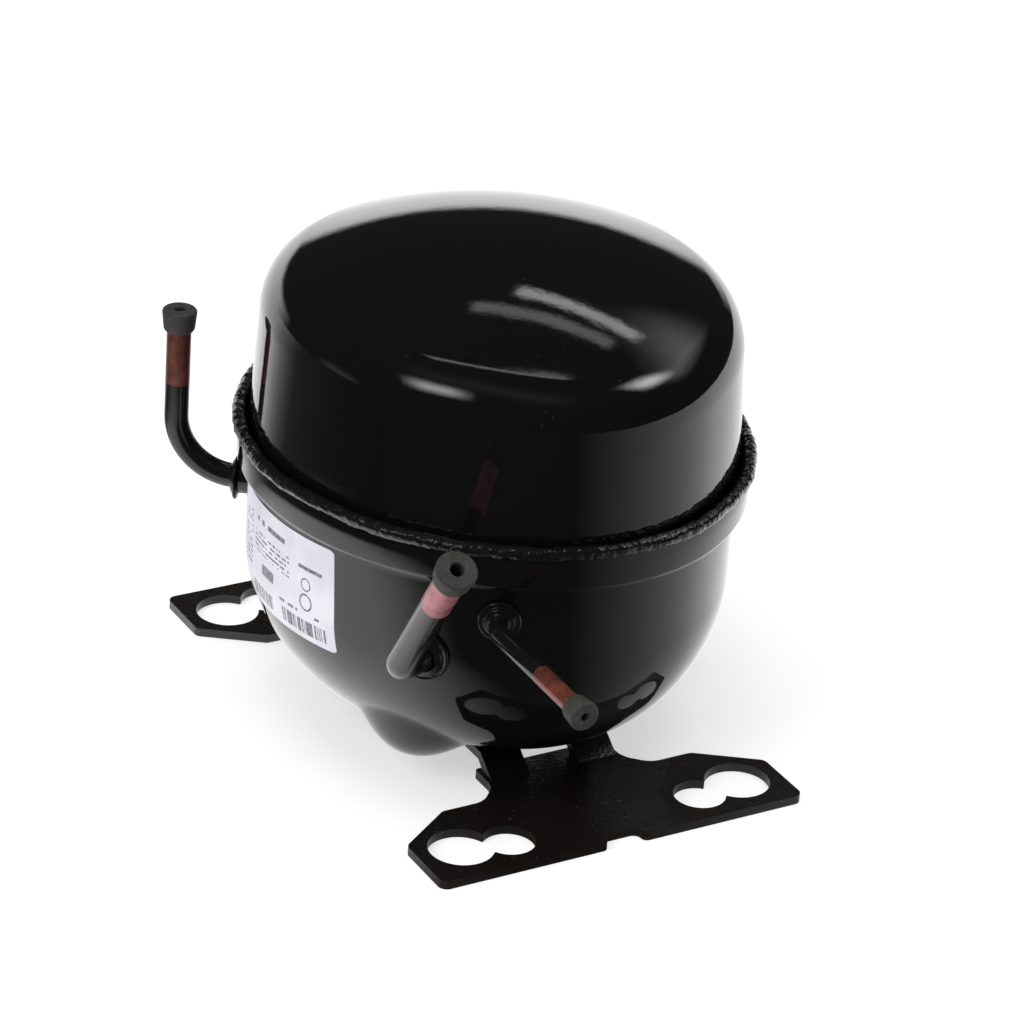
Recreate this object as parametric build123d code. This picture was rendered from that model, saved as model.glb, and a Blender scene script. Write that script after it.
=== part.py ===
from build123d import *
import math
import os

# Hermetic reciprocating compressor. Millimetres, +Z up.
# The origin is the centre of the mounting-hole pattern, on the undersides of the two base plates.
# X runs along the short hole spacing, Y along the long one and along the oval shell.

# ---- oval plan of the shell: two end arcs joined by two flatter side arcs ----
OVAL_NARROWER = 8.0         # half width is this much less than half length
END_CENTRE = 19.0           # the end arcs are centred this far from the middle

# ---- shell ----
SHELL_WALL = 3.0
LOWER_HALF_LENGTH = 85.0
BOWL_BOTTOM = 8.5
BOWL_CORNER = 52.0          # radius between the bottom and the wall
LOBE_X = 38.5
LOBE_Y = 31.0
LOBE_Z = 25.0
LOBE_RADIUS = 17.5
STEP_Z = 88.0               # underside of the widened mouth
STEP_ROUND = 2.5
MOUTH_TOP = 100.0
CAP_WIDER = 1.0             # the cap's oval is this much longer than the bowl's, each way
CAP_GAP = 0.2               # cap wall to mouth wall, before welding
CAP_BOTTOM = 90.5
CAP_TOP = 169.4
CAP_DRAFT = 3.0             # degrees
CAP_CORNER = 20.0
CROWN_RADIUS = 164.0
BEAD_RADIUS = 2.6
BEAD_LIFT = 1.4             # bead centre above the mouth rim

# ---- base plates and their two standard hole patterns ----
PLATE = 3.0
WIDE_X = 101.6
WIDE_Y = 165.1
WIDE_HOLE = 10.6
NARROW_X = 70.0
NARROW_Y = 170.0
NARROW_HOLE = 8.5
PLATE_END_MARGIN = 15.2     # beyond the wide-pattern holes, sideways
PLATE_FRONT_MARGIN = 16.0   # beyond the wide-pattern holes, outwards
PLATE_BACK_MARGIN = 21.0
PLATE_CHAMFER = 20.0
PLATE_CHAMFER_SLOPE = 0.68  # chamfer depth over its width
PLATE_ROUND = 3.0
NECK_FILLET = 8.0
NECK_HALF = 24.0
NECK_ROUND = 7.0
TONGUE_END = 43.0           # the flat tongue stops here under the bowl
NOTCH_HALF = 6.4
NOTCH_DEPTH = 4.5
EAR_IN = 9.0                # the two welding ears of a plate, in X
EAR_OUT = 23.0
EAR_FOOT = 53.0             # where an ear leaves the flat, in Y
EAR_HEAD = 44.0
EAR_END = 29.0
EAR_TOP = 9.6
DIMPLE = 1.3
DIMPLE_DEPTH = 0.6
WIDE_DIMPLE = (9.5, 10.5)   # from a wide-pattern hole, sideways and outwards
NARROW_DIMPLE = (3.0, 11.0) # from a narrow-pattern hole

# ---- tubes: where they cross the wall, the way they leave it, and their runs ----
TUBE_INSIDE = 8.0
TUBE_WALL = 0.8
SUCTION_R = 4.75
SUCTION_TURN = -138.3       # direction of the wall's normal there, in degrees from +X
SUCTION_HEIGHT = 59.9
SUCTION_OUT = (-0.921, -0.390, 0.0)
SUCTION_STUB = 13.4
SUCTION_WAY = (-0.085, -0.595, 0.799)
SUCTION_RUN = 70.0
SUCTION_BEND = 11.0
DISCHARGE_R = 3.1
DISCHARGE_TURN = -123.3
DISCHARGE_HEIGHT = 76.0
DISCHARGE_STUB = 8.0
DISCHARGE_WAY = (-0.022, -1.0, 0.0)
DISCHARGE_RUN = 53.0
DISCHARGE_BEND = 9.0
PROCESS_R = 4.0
PROCESS_TURN = 143.1
PROCESS_HEIGHT = 69.5
PROCESS_STUB = 25.4
PROCESS_WAY = (0.0, 0.0, 1.0)
PROCESS_RUN = 55.5
PROCESS_BEND = 20.0
COLLAR_SLEEVE = 1.5         # collar sleeve wall
COLLAR_FLANGE = 2.3         # flange beyond the sleeve
COLLAR_THICK = 1.2
COLLAR_RISE = 0.4           # flange above the wall
PROCESS_COLLAR_RISE = 4.0
PLUG_OVER = 1.7             # plug wall outside the tube
PLUG_HOLD = 5.5             # length held over the tube end
PLUG_CAP = 2.0
PLUG_STEM = 9.0
PLUG_FIT = 0.05

# ---- rating label ----
LABEL_SKIN = 0.25
LABEL_LOW = 47.5
LABEL_HIGH = 83.5
LABEL_FRONT = -30.5
LABEL_BACK = 31.5
LABEL_TILT = 3.0

# ---- hermetic terminal, on the side away from the tubes ----
TERMINAL_Y = 22.0
TERMINAL_Z = 58.0
TERMINAL_PROUD = 3.8        # the boss stands this far out of the wall
TERMINAL_R = 16.0
BOSS_R = 21.0
CUP_WALL = 2.5
CUP_DEPTH = 7.5
CUP_FLOOR_THICK = 3.0
PIN_R = 1.6
PIN_CIRCLE = 7.5
PIN_INSIDE = 17.0           # reach of a pin inside and outside the boss face
PIN_OUTSIDE = 11.0
GLASS_R = 3.2
FENCE_HALF_Y = 24.0
FENCE_HALF_Z = 22.0
FENCE_WALL = 1.5
FENCE_ROUND = 4.0
FENCE_PROUD = 12.0
SOCKET_BACK = 18.5          # the socket's two ends, inside the boss face
SOCKET_FRONT = 12.0
SOCKET_HALF_Y = 10.0
SOCKET_HALF_Z = 9.0

# ---- motor ----
STACK_LOW = 44.0
STACK_HIGH = 84.0
STATOR_HALF = 50.0
STATOR_ROUND = 12.0
STATOR_BORE = 28.8
AIR_GAP = 0.35
SLOTS = 24
SLOT_IN = 31.0
SLOT_OUT = 40.0
SLOT_WIDTH = 5.4
SLOT_MOUTH = 2.2
LINER = 0.2
TURNS_OUT = 41.0
TURNS_SPLIT = 35.0
TURNS_IN = 30.2
RUN_TURNS = 14.0            # height of the run winding's end turns
START_TURNS = 11.0
ROTOR_BARS = 18
ROTOR_BAR_R = 2.2
ROTOR_BAR_CIRCLE = 24.0
END_RING = 7.0
END_RING_IN = 17.0
COUNTERWEIGHT = 4.0

# ---- suspension ----
BOLT_R = 2.5
BOLT_HEAD_R = 5.0
BOLT_HEAD = 4.0
SEAT_R = 7.2
SEAT_TOP = 16.0
STUD_R = 4.4
STUD_TOP = 24.0
SPRING_TOP = 36.0
SPRING_WIRE = 0.9
SPRING_MEAN = 5.8
SPRING_TURNS = 5.0

# ---- pump ----
SHAFT_R = 8.0
SHAFT_LOW = 32.0
RUNNING = 0.03              # radial running clearance
PILLAR_R = 7.0
PLATFORM_LOW = 98.8
PLATFORM_TOP = 105.8
PLATFORM_X = 46.0
PLATFORM_Y = 39.0
HUB_R = 14.0
HUB_LOW = 72.0
WASHER = 0.95
WEB_FLOAT = 0.05            # end play of the shaft over its thrust washer
WEB_CLEAR = 0.6             # web to piston
WEB_R = 15.0
WEB_SWEEP = 19.5
CRANK = 8.8                 # crank throw
CRANKPIN_R = 5.5
CRANKPIN_TOP = 130.3
CYLINDER_Z = 125.0
BORE_R = 12.01
PISTON_LENGTH = 24.0
CYLINDER_START = 21.0
CYLINDER_OUTER = 18.0
VALVE_FACE = 52.0
TOP_CLEARANCE = 0.8         # piston crown to valve face at the end of its stroke
YOKE_BORE = 7.93
YOKE_R = 10.5
YOKE_HALF = 20.0
BLOCK_HALF = 8.5
SLOT_CLEAR = 0.6

# ---- valves and head ----
HEAD_HALF = 20.0
HEAD_BOLT_AT = 15.5
HEAD_BOLT_R = 2.0
HEAD_BOLT_HEAD = 3.6
BOLT_CLEAR = 0.2
GASKET = 0.5
SHEET = 0.4
REED = 0.3
VALVE_PLATE = 3.5
HEAD = 10.0
REED_ROOT = -10.0
REED_TIP = 8.0
SUCTION_REED_Z = -4.5       # from the cylinder axis
SUCTION_REED_HALF = 3.5
DISCHARGE_REED_Z = 5.5
DISCHARGE_REED_HALF = 3.0
PORT_X = 4.0
SUCTION_PORT = 2.6
DISCHARGE_PORT = 2.2
STOP_GAP = 1.1

SUCTION_MUFFLER = ((-50.0, -24.0), (26.0, 50.0), (109.0, 137.0))
MUFFLER_PIPE = 3.5
DISCHARGE_MUFFLER_AT = (34.0, 18.0)
DISCHARGE_MUFFLER_R = 13.0
DISCHARGE_MUFFLER_TOP = 121.0
MUFFLER_COVER = 2.0
LOOP_R = 2.4
CHAMBER = 13.0              # half width of the head's chambers
LEAD_R = 2.0

UP = (Align.CENTER, Align.CENTER, Align.MIN)

# ---- sizes that follow from the ones above ----
OVAL_END_EXTRA = END_CENTRE - OVAL_NARROWER     # half width less the end arcs' radius
SIDE_CENTRE = (END_CENTRE**2 - OVAL_END_EXTRA**2) / (2 * OVAL_END_EXTRA)
MEET = math.atan2(END_CENTRE, SIDE_CENTRE)      # direction in which an end arc meets a side arc
CAP_HALF_LENGTH = LOWER_HALF_LENGTH + CAP_WIDER
LOWER_HALF_WIDTH = LOWER_HALF_LENGTH - OVAL_NARROWER
PISTON_R = BORE_R - RUNNING
WEB_LOW = PLATFORM_TOP + WASHER + WEB_FLOAT
WEB_TOP = CYLINDER_Z - BORE_R - WEB_CLEAR
BLOCK_R = YOKE_BORE - RUNNING


def wall_point(degrees, height):
    """Where the bowl's upright wall faces a direction, and that direction."""
    turn = math.radians(degrees)
    face = (math.cos(turn), math.sin(turn), 0.0)
    if abs(face[0]) > math.cos(MEET):
        centre = (-math.copysign(SIDE_CENTRE, face[0]), 0)
        radius = LOWER_HALF_WIDTH + SIDE_CENTRE
    else:
        centre = (0, math.copysign(END_CENTRE, face[1]))
        radius = LOWER_HALF_LENGTH - END_CENTRE
    return (centre[0] + radius * face[0], centre[1] + radius * face[1], height), face


def wall_x(y):
    """How far out the wall is beside a point of the Y axis."""
    return math.sqrt((LOWER_HALF_WIDTH + SIDE_CENTRE) ** 2 - y**2) - SIDE_CENTRE


SUCTION_AT, SUCTION_FACE = wall_point(SUCTION_TURN, SUCTION_HEIGHT)
DISCHARGE_AT, DISCHARGE_FACE = wall_point(DISCHARGE_TURN, DISCHARGE_HEIGHT)
PROCESS_AT, PROCESS_FACE = wall_point(PROCESS_TURN, PROCESS_HEIGHT)
TERMINAL_FACE = wall_x(TERMINAL_Y) + TERMINAL_PROUD
CUP_FLOOR = TERMINAL_FACE - CUP_DEPTH
PIN_INNER = TERMINAL_FACE - PIN_INSIDE
PIN_OUTER = TERMINAL_FACE + PIN_OUTSIDE
FENCE_OUT = TERMINAL_FACE + FENCE_PROUD
SOCKET_X = (TERMINAL_FACE - SOCKET_BACK, TERMINAL_FACE - SOCKET_FRONT)
EARTH_AT = (TERMINAL_FACE + 4, TERMINAL_Y + 10)
RESTRICTOR_R = 2.5
SHEET_FACE = VALVE_FACE + GASKET
PLATE_FACE = SHEET_FACE + SHEET
HEAD_GASKET_FACE = PLATE_FACE + VALVE_PLATE
HEAD_FACE = HEAD_GASKET_FACE + GASKET
PORT_ROW = HEAD_FACE + 4
MUFFLER_PIPE_Z = CYLINDER_Z - 7
DISCHARGE_PIPE_Z = CYLINDER_Z + 7
LOOP_Z = PLATFORM_TOP + 8


def rod(start, end, radius):
    """A round bar from start to end."""
    axis = Vector(*end) - Vector(*start)
    seat = Plane(origin=start, z_dir=axis)
    return seat.location * Cylinder(radius, axis.length, align=UP)


def post(x, y, low, high, radius):
    """A round bar that stands upright."""
    return rod((x, y, low), (x, y, high), radius)


def block(x, y, z):
    """A box between pairs of limits."""
    size = (x[1] - x[0], y[1] - y[0], z[1] - z[0])
    return Pos((x[0] + x[1]) / 2, (y[0] + y[1]) / 2, z[0]) * Box(*size, align=UP)


def along(point, direction, distance):
    """The point at a distance from another, in a direction."""
    unit = Vector(*direction).normalized()
    spot = Vector(*point) + unit * distance
    return (spot.X, spot.Y, spot.Z)


def pipe(points, bends, outer, inner=0.0):
    """A tube, or a solid cord, that follows straight runs joined by arcs."""
    path = FilletPolyline(*points, radius=bends)
    section = Circle(outer)
    if inner > 0:
        section -= Circle(inner)
    start = Plane(origin=path @ 0, z_dir=path % 0)
    return sweep(start * section, path=path)


def four(piece):
    """A piece and its mirror images in both vertical middle planes."""
    pair = [piece, mirror(piece, about=Plane.XZ)]
    return pair + [mirror(item, about=Plane.YZ) for item in pair]


def group(pieces):
    """Separate solids kept together as one node."""
    return Compound(children=[solid for piece in pieces for solid in piece.solids()])


# ---------------------------------------------------------------- shell


def oval_outline(half_length):
    """The closed outline of the four-centre oval, in the XY plane."""
    end = half_length - END_CENTRE
    side = half_length - OVAL_NARROWER + SIDE_CENTRE
    meet = math.degrees(MEET)
    arcs = [
        CenterArc((-SIDE_CENTRE, 0), side, -meet, 2 * meet),
        CenterArc((0, END_CENTRE), end, meet, 180 - 2 * meet),
        CenterArc((SIDE_CENTRE, 0), side, 180 - meet, 2 * meet),
        CenterArc((0, -END_CENTRE), end, 180 + meet, 180 - 2 * meet),
    ]
    return Wire(arcs)


def oval(half_length, low, high, taper=0.0):
    """An upright oval prism."""
    face = Pos(0, 0, low) * Face(oval_outline(half_length))
    return extrude(face, high - low, taper=taper)


def bowl(offset, top):
    """The lower shell's outer form, moved out by an offset, without its mouth."""
    body = oval(LOWER_HALF_LENGTH + offset, BOWL_BOTTOM - offset, top)
    low_edges = body.edges().group_by(Axis.Z)[0]
    body = fillet(low_edges, BOWL_CORNER + offset)
    for lobe in four(Pos(LOBE_X, LOBE_Y, LOBE_Z) * Sphere(LOBE_RADIUS + offset)):
        body += lobe
    return body


def terminal_seat():
    """The flat boss that carries the hermetic terminal."""
    start = (CUP_FLOOR - 2 * SHELL_WALL, TERMINAL_Y, TERMINAL_Z)
    return rod(start, (TERMINAL_FACE, TERMINAL_Y, TERMINAL_Z), BOSS_R)


def lower_outer():
    mouth = oval(CAP_HALF_LENGTH + CAP_GAP + SHELL_WALL, STEP_Z, MOUTH_TOP)
    mouth = fillet(mouth.edges().group_by(Axis.Z)[0], STEP_ROUND)
    return bowl(0, STEP_Z + STEP_ROUND) + mouth + terminal_seat()


def lower_shell():
    mouth = oval(CAP_HALF_LENGTH + CAP_GAP, CAP_BOTTOM - CAP_GAP, MOUTH_TOP + 1)
    shell = lower_outer() - bowl(-SHELL_WALL, MOUTH_TOP) - mouth
    near = (CUP_FLOOR - 9, TERMINAL_Y, TERMINAL_Z)
    far = (TERMINAL_FACE + 1, TERMINAL_Y, TERMINAL_Z)
    shell -= rod(near, far, TERMINAL_R)
    for at, face, radius in TUBE_HOLES:
        shell -= rod(along(at, face, -9), along(at, face, 9), radius + COLLAR_SLEEVE)
    return shell


def cap(offset):
    """The upper shell's outer form, moved by an offset."""
    body = oval(CAP_HALF_LENGTH + offset, CAP_BOTTOM + min(offset, 0), CAP_TOP + 5, CAP_DRAFT)
    crown = CROWN_RADIUS + offset
    body &= Pos(0, 0, CAP_TOP - CROWN_RADIUS) * Sphere(crown)
    top_edges = body.faces().sort_by(Axis.Z)[-1].edges()
    return fillet(top_edges, CAP_CORNER + offset)


def upper_shell():
    return cap(0) - cap(-SHELL_WALL)


def seam_weld(lower, upper):
    middle = CAP_HALF_LENGTH + BEAD_RADIUS
    path = Pos(0, 0, MOUTH_TOP + BEAD_LIFT) * oval_outline(middle)
    start = Plane(origin=path @ 0, z_dir=path % 0)
    bead = sweep(start * Circle(BEAD_RADIUS), path=path)
    bead -= lower
    bead -= upper
    return bead.solids().sort_by(SortBy.VOLUME)[-1]


def plate_outline():
    """Half of the front base plate's outline, from the notch to the tongue."""
    front = -WIDE_Y / 2 - PLATE_FRONT_MARGIN
    end = WIDE_X / 2 + PLATE_END_MARGIN
    back = -WIDE_Y / 2 + PLATE_BACK_MARGIN
    corner = back - PLATE_CHAMFER * PLATE_CHAMFER_SLOPE
    return [
        (0, front + NOTCH_DEPTH),
        (NOTCH_HALF, front + NOTCH_DEPTH),
        (NOTCH_HALF, front),
        (end, front),
        (end, corner),
        (end - PLATE_CHAMFER, back),
        (NECK_HALF + NECK_ROUND, back),
        (NECK_HALF, back + NECK_ROUND),
        (NECK_HALF, -TONGUE_END),
        (0, -TONGUE_END),
    ]


def ear():
    """One sheet-metal ear that rises from the plate to the underside of the bowl."""
    outline = [
        (-EAR_FOOT, 0),
        (-EAR_FOOT, PLATE),
        (-EAR_HEAD, EAR_TOP),
        (-EAR_END, EAR_TOP),
        (-EAR_END, EAR_TOP - PLATE),
        (-EAR_HEAD + 1, EAR_TOP - PLATE),
        (-EAR_FOOT + PLATE, 0),
    ]
    profile = make_face(Polyline(*[(0, y, z) for y, z in outline], close=True))
    return Pos(EAR_IN, 0, 0) * extrude(profile, EAR_OUT - EAR_IN, dir=(1, 0, 0))


def front_plate(bottom):
    half = make_face(Polyline(*plate_outline(), close=True))
    sheet = half + mirror(half, about=Plane.YZ)
    plate = extrude(sheet, PLATE)
    neck = NECK_HALF + NECK_ROUND + 1
    upright = plate.edges().filter_by(Axis.Z)
    plate = fillet([edge for edge in upright if abs(edge.center().X) > neck], PLATE_ROUND)
    upright = plate.edges().filter_by(Axis.Z)
    beside = [edge for edge in upright if NECK_HALF - 1 < abs(edge.center().X) < neck]
    plate = fillet([edge for edge in beside if edge.center().Y < -TONGUE_END - 1], NECK_FILLET)
    for side in (1, -1):
        plate -= post(side * WIDE_X / 2, -WIDE_Y / 2, -1, PLATE + 1, WIDE_HOLE)
        plate -= post(side * NARROW_X / 2, -NARROW_Y / 2, -1, PLATE + 1, NARROW_HOLE)
        for x, y, (away, out) in ((WIDE_X, WIDE_Y, WIDE_DIMPLE), (NARROW_X, NARROW_Y, NARROW_DIMPLE)):
            spot = (side * (x / 2 + away), -y / 2 - out)
            plate -= post(*spot, PLATE - DIMPLE_DEPTH, PLATE + 1, DIMPLE)
    left = mirror(ear(), about=Plane.YZ)
    return plate + ear() + left - bottom


def plug(end, way, radius):
    """A rubber shipping plug: a tapered cap over the tube end and a stem inside it."""
    rim = radius + PLUG_OVER
    bore = radius + PLUG_FIT
    stem = radius - TUBE_WALL - PLUG_FIT
    hollow = stem * 0.55
    outline = [
        (0, -PLUG_STEM),
        (stem - 0.8, -PLUG_STEM),
        (stem, -PLUG_STEM + 0.8),
        (stem, 0.05),
        (bore, 0.05),
        (bore, -PLUG_HOLD),
        (rim - 1.2, -PLUG_HOLD),
        (rim - 0.6, -PLUG_HOLD + 0.8),
        (rim, PLUG_CAP - 0.7),
        (rim - 0.6, PLUG_CAP),
        (hollow + 0.3, PLUG_CAP),
        (hollow, PLUG_CAP - 0.3),
        (hollow, -PLUG_STEM + 2),
        (0, -PLUG_STEM + 2),
    ]
    profile = make_face(Polyline(*[(x, 0, z) for x, z in outline], close=True))
    return Plane(origin=end, z_dir=way).location * revolve(profile, Axis.Z)


def rating_label():
    skin = bowl(LABEL_SKIN, STEP_Z) - bowl(0, STEP_Z + 1)
    middle = (LABEL_LOW + LABEL_HIGH) / 2
    window = Box(2 * (LOWER_HALF_WIDTH - STATOR_HALF), LABEL_BACK - LABEL_FRONT, LABEL_HIGH - LABEL_LOW)
    window = fillet(window.edges().filter_by(Axis.X), 1.5)
    place = Pos(-LOWER_HALF_WIDTH, (LABEL_FRONT + LABEL_BACK) / 2, middle) * Rot(-LABEL_TILT, 0, 0)
    return (skin & (place * window)).solids()[0]


# ---------------------------------------------------------------- hermetic terminal


def pin_places():
    for turn in (90, 210, 330):
        angle = math.radians(turn)
        yield TERMINAL_Y + PIN_CIRCLE * math.cos(angle), TERMINAL_Z + PIN_CIRCLE * math.sin(angle)


def terminal_body():
    floor = CUP_FLOOR + CUP_FLOOR_THICK
    rim = (TERMINAL_FACE + 0.8, TERMINAL_Y, TERMINAL_Z)
    body = rod((CUP_FLOOR, TERMINAL_Y, TERMINAL_Z), rim, TERMINAL_R)
    far = (TERMINAL_FACE + 2, TERMINAL_Y, TERMINAL_Z)
    body -= rod((floor, TERMINAL_Y, TERMINAL_Z), far, TERMINAL_R - CUP_WALL)
    for y, z in pin_places():
        body -= rod((CUP_FLOOR - 1, y, z), (floor + 1, y, z), GLASS_R)
    return body


def terminal_glass():
    beads = []
    for y, z in pin_places():
        bead = rod((CUP_FLOOR - 0.5, y, z), (CUP_FLOOR + CUP_FLOOR_THICK + 0.5, y, z), GLASS_R)
        beads.append(bead - rod((CUP_FLOOR - 2, y, z), (FENCE_OUT, y, z), PIN_R))
    return group(beads)


def terminal_pins():
    return group([rod((PIN_INNER, y, z), (PIN_OUTER, y, z), PIN_R) for y, z in pin_places()])


def terminal_fence(lower):
    boxes = []
    for wall, past in ((0, 0), (FENCE_WALL, 1)):
        half_y = FENCE_HALF_Y - wall
        half_z = FENCE_HALF_Z - wall
        reach = (STATOR_HALF - past, FENCE_OUT + past)
        y_range = (TERMINAL_Y - half_y, TERMINAL_Y + half_y)
        box = block(reach, y_range, (TERMINAL_Z - half_z, TERMINAL_Z + half_z))
        boxes.append(fillet(box.edges().filter_by(Axis.X), FENCE_ROUND - wall))
    fence = boxes[0] - boxes[1]
    fence -= post(*EARTH_AT, 20, TERMINAL_Z, HEAD_BOLT_R)
    fence -= lower
    return fence.solids().sort_by(Axis.X)[-1]


def earth_screw():
    low = TERMINAL_Z - FENCE_HALF_Z
    head = post(*EARTH_AT, low - 2.4, low, 3.6)
    x, y = EARTH_AT
    head -= block((x - 3, x + 3), (y - 0.5, y + 0.5), (low - 3, low - 1.2))
    return head + post(*EARTH_AT, low, low + 7, HEAD_BOLT_R)


def terminal_socket():
    wide = (TERMINAL_Y - SOCKET_HALF_Y, TERMINAL_Y + SOCKET_HALF_Y)
    tall = (TERMINAL_Z - SOCKET_HALF_Z - 1, TERMINAL_Z + SOCKET_HALF_Z + 2)
    socket = block(SOCKET_X, wide, tall)
    socket = fillet(socket.edges().filter_by(Axis.X), 3)
    for y, z in pin_places():
        socket -= rod((PIN_INNER - 0.5, y, z), (SOCKET_X[1] + 1, y, z), PIN_R + PLUG_FIT)
    return socket


# ---------------------------------------------------------------- motor


def slot_tool(turn, inner, outer, width, low, high):
    """A radial bar of slot section at one angle."""
    return Rot(0, 0, turn) * block((inner, outer), (-width / 2, width / 2), (low, high))


def slot_turns():
    return [index * 360 / SLOTS for index in range(SLOTS)]


def stator_core():
    core = block((-STATOR_HALF, STATOR_HALF), (-STATOR_HALF, STATOR_HALF), (STACK_LOW, STACK_HIGH))
    core = fillet(core.edges().filter_by(Axis.Z), STATOR_ROUND)
    core -= post(0, 0, STACK_LOW - 1, STACK_HIGH + 1, STATOR_BORE)
    for turn in slot_turns():
        core -= slot_tool(turn, SLOT_IN, SLOT_OUT, SLOT_WIDTH, STACK_LOW - 1, STACK_HIGH + 1)
        core -= slot_tool(turn, STATOR_BORE - 2, SLOT_IN + 1, SLOT_MOUTH, STACK_LOW - 1, STACK_HIGH + 1)
    for hole in four(post(LOBE_X, LOBE_Y, STACK_LOW - 1, STACK_HIGH + 1, BOLT_R + BOLT_CLEAR)):
        core -= hole
    return core


def winding(turns, inner, outer, height):
    """End turns above and below the stack, joined through the winding's own slots."""
    rise = 0.5
    coil = None
    for low, high in ((STACK_HIGH + rise, STACK_HIGH + height), (STACK_LOW - height, STACK_LOW - rise)):
        ring = post(0, 0, low, high, outer) - post(0, 0, low - 1, high + 1, inner)
        round_edges = ring.edges().filter_by(GeomType.CIRCLE)
        ring = fillet(round_edges, 2.0)
        coil = ring if coil is None else coil + ring
    for turn in turns:
        bar_width = SLOT_WIDTH - 2 * LINER
        bar = slot_tool(turn, SLOT_IN + LINER, SLOT_OUT - LINER, bar_width, STACK_LOW - 2.5, STACK_HIGH + 2.5)
        share = post(0, 0, STACK_LOW - 5, STACK_HIGH + 5, outer - 2.0)
        share -= post(0, 0, STACK_LOW - 6, STACK_HIGH + 6, inner + 2.0)
        coil += bar & share
    return coil


def rotor_counterbore():
    return post(0, 0, HUB_LOW - 1, STACK_HIGH + 1, HUB_R + 1.5)


def rotor_cage():
    cage = []
    for low in (STACK_LOW - END_RING, STACK_HIGH):
        ring = post(0, 0, low, low + END_RING, STATOR_BORE - AIR_GAP - 0.5)
        cage.append(ring - post(0, 0, low - 1, low + END_RING + 1, END_RING_IN))
    body = cage[0] + cage[1]
    for index in range(ROTOR_BARS):
        angle = 2 * math.pi * index / ROTOR_BARS
        x = ROTOR_BAR_CIRCLE * math.cos(angle)
        y = ROTOR_BAR_CIRCLE * math.sin(angle)
        body += post(x, y, STACK_LOW - 1, STACK_HIGH + 1, ROTOR_BAR_R)
    return body


def rotor_core(cage):
    core = post(0, 0, STACK_LOW, STACK_HIGH, STATOR_BORE - AIR_GAP)
    core -= post(0, 0, STACK_LOW - 1, STACK_HIGH + 1, SHAFT_R)
    core -= rotor_counterbore()
    return core - cage


def rotor_counterweight():
    low = STACK_HIGH + END_RING
    ring = post(0, 0, low, low + COUNTERWEIGHT, STATOR_BORE - AIR_GAP - 1.0)
    ring -= post(0, 0, low - 1, low + COUNTERWEIGHT + 1, END_RING_IN + 0.5)
    return ring & block((-40, 40), (4, 40), (low - 1, low + COUNTERWEIGHT + 1))


# ---------------------------------------------------------------- suspension


def spring_seats():
    hollow = bowl(-SHELL_WALL, STEP_Z)
    seat = post(LOBE_X, LOBE_Y, BOWL_BOTTOM, SEAT_TOP, SEAT_R) & hollow
    stud = post(LOBE_X, LOBE_Y, SEAT_TOP, STUD_TOP, STUD_R)
    stud = chamfer(stud.edges().group_by(Axis.Z)[-1], 1.2)
    return group(four(seat + stud))


def suspension_springs():
    low = SEAT_TOP + SPRING_WIRE + 0.1
    height = SPRING_TOP - SEAT_TOP - 2 * SPRING_WIRE - 0.2
    coil = Helix(height / SPRING_TURNS, height, SPRING_MEAN)
    start = Plane(origin=coil @ 0, z_dir=coil % 0)
    spring = sweep(start * Circle(SPRING_WIRE), path=coil, is_frenet=True)
    return group(four(Pos(LOBE_X, LOBE_Y, low) * spring))


def spring_caps():
    disc = post(LOBE_X, LOBE_Y, SPRING_TOP, STACK_LOW, SEAT_R)
    nose = post(LOBE_X, LOBE_Y, SPRING_TOP - 6, SPRING_TOP, STUD_R)
    nose = chamfer(nose.edges().group_by(Axis.Z)[0], 1.2)
    socket = post(LOBE_X, LOBE_Y, STACK_LOW - BOLT_HEAD, STACK_LOW + 1, BOLT_HEAD_R)
    return group(four(disc + nose - socket))


def stator_bolts():
    shank = post(LOBE_X, LOBE_Y, STACK_LOW, PLATFORM_LOW - 4, BOLT_R)
    head = post(LOBE_X, LOBE_Y, STACK_LOW - BOLT_HEAD, STACK_LOW, BOLT_HEAD_R)
    return group(four(shank + head))


# ---------------------------------------------------------------- pump


def bolt_places():
    for x in (-HEAD_BOLT_AT, HEAD_BOLT_AT):
        for z in (-HEAD_BOLT_AT, HEAD_BOLT_AT):
            yield x, CYLINDER_Z + z


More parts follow.
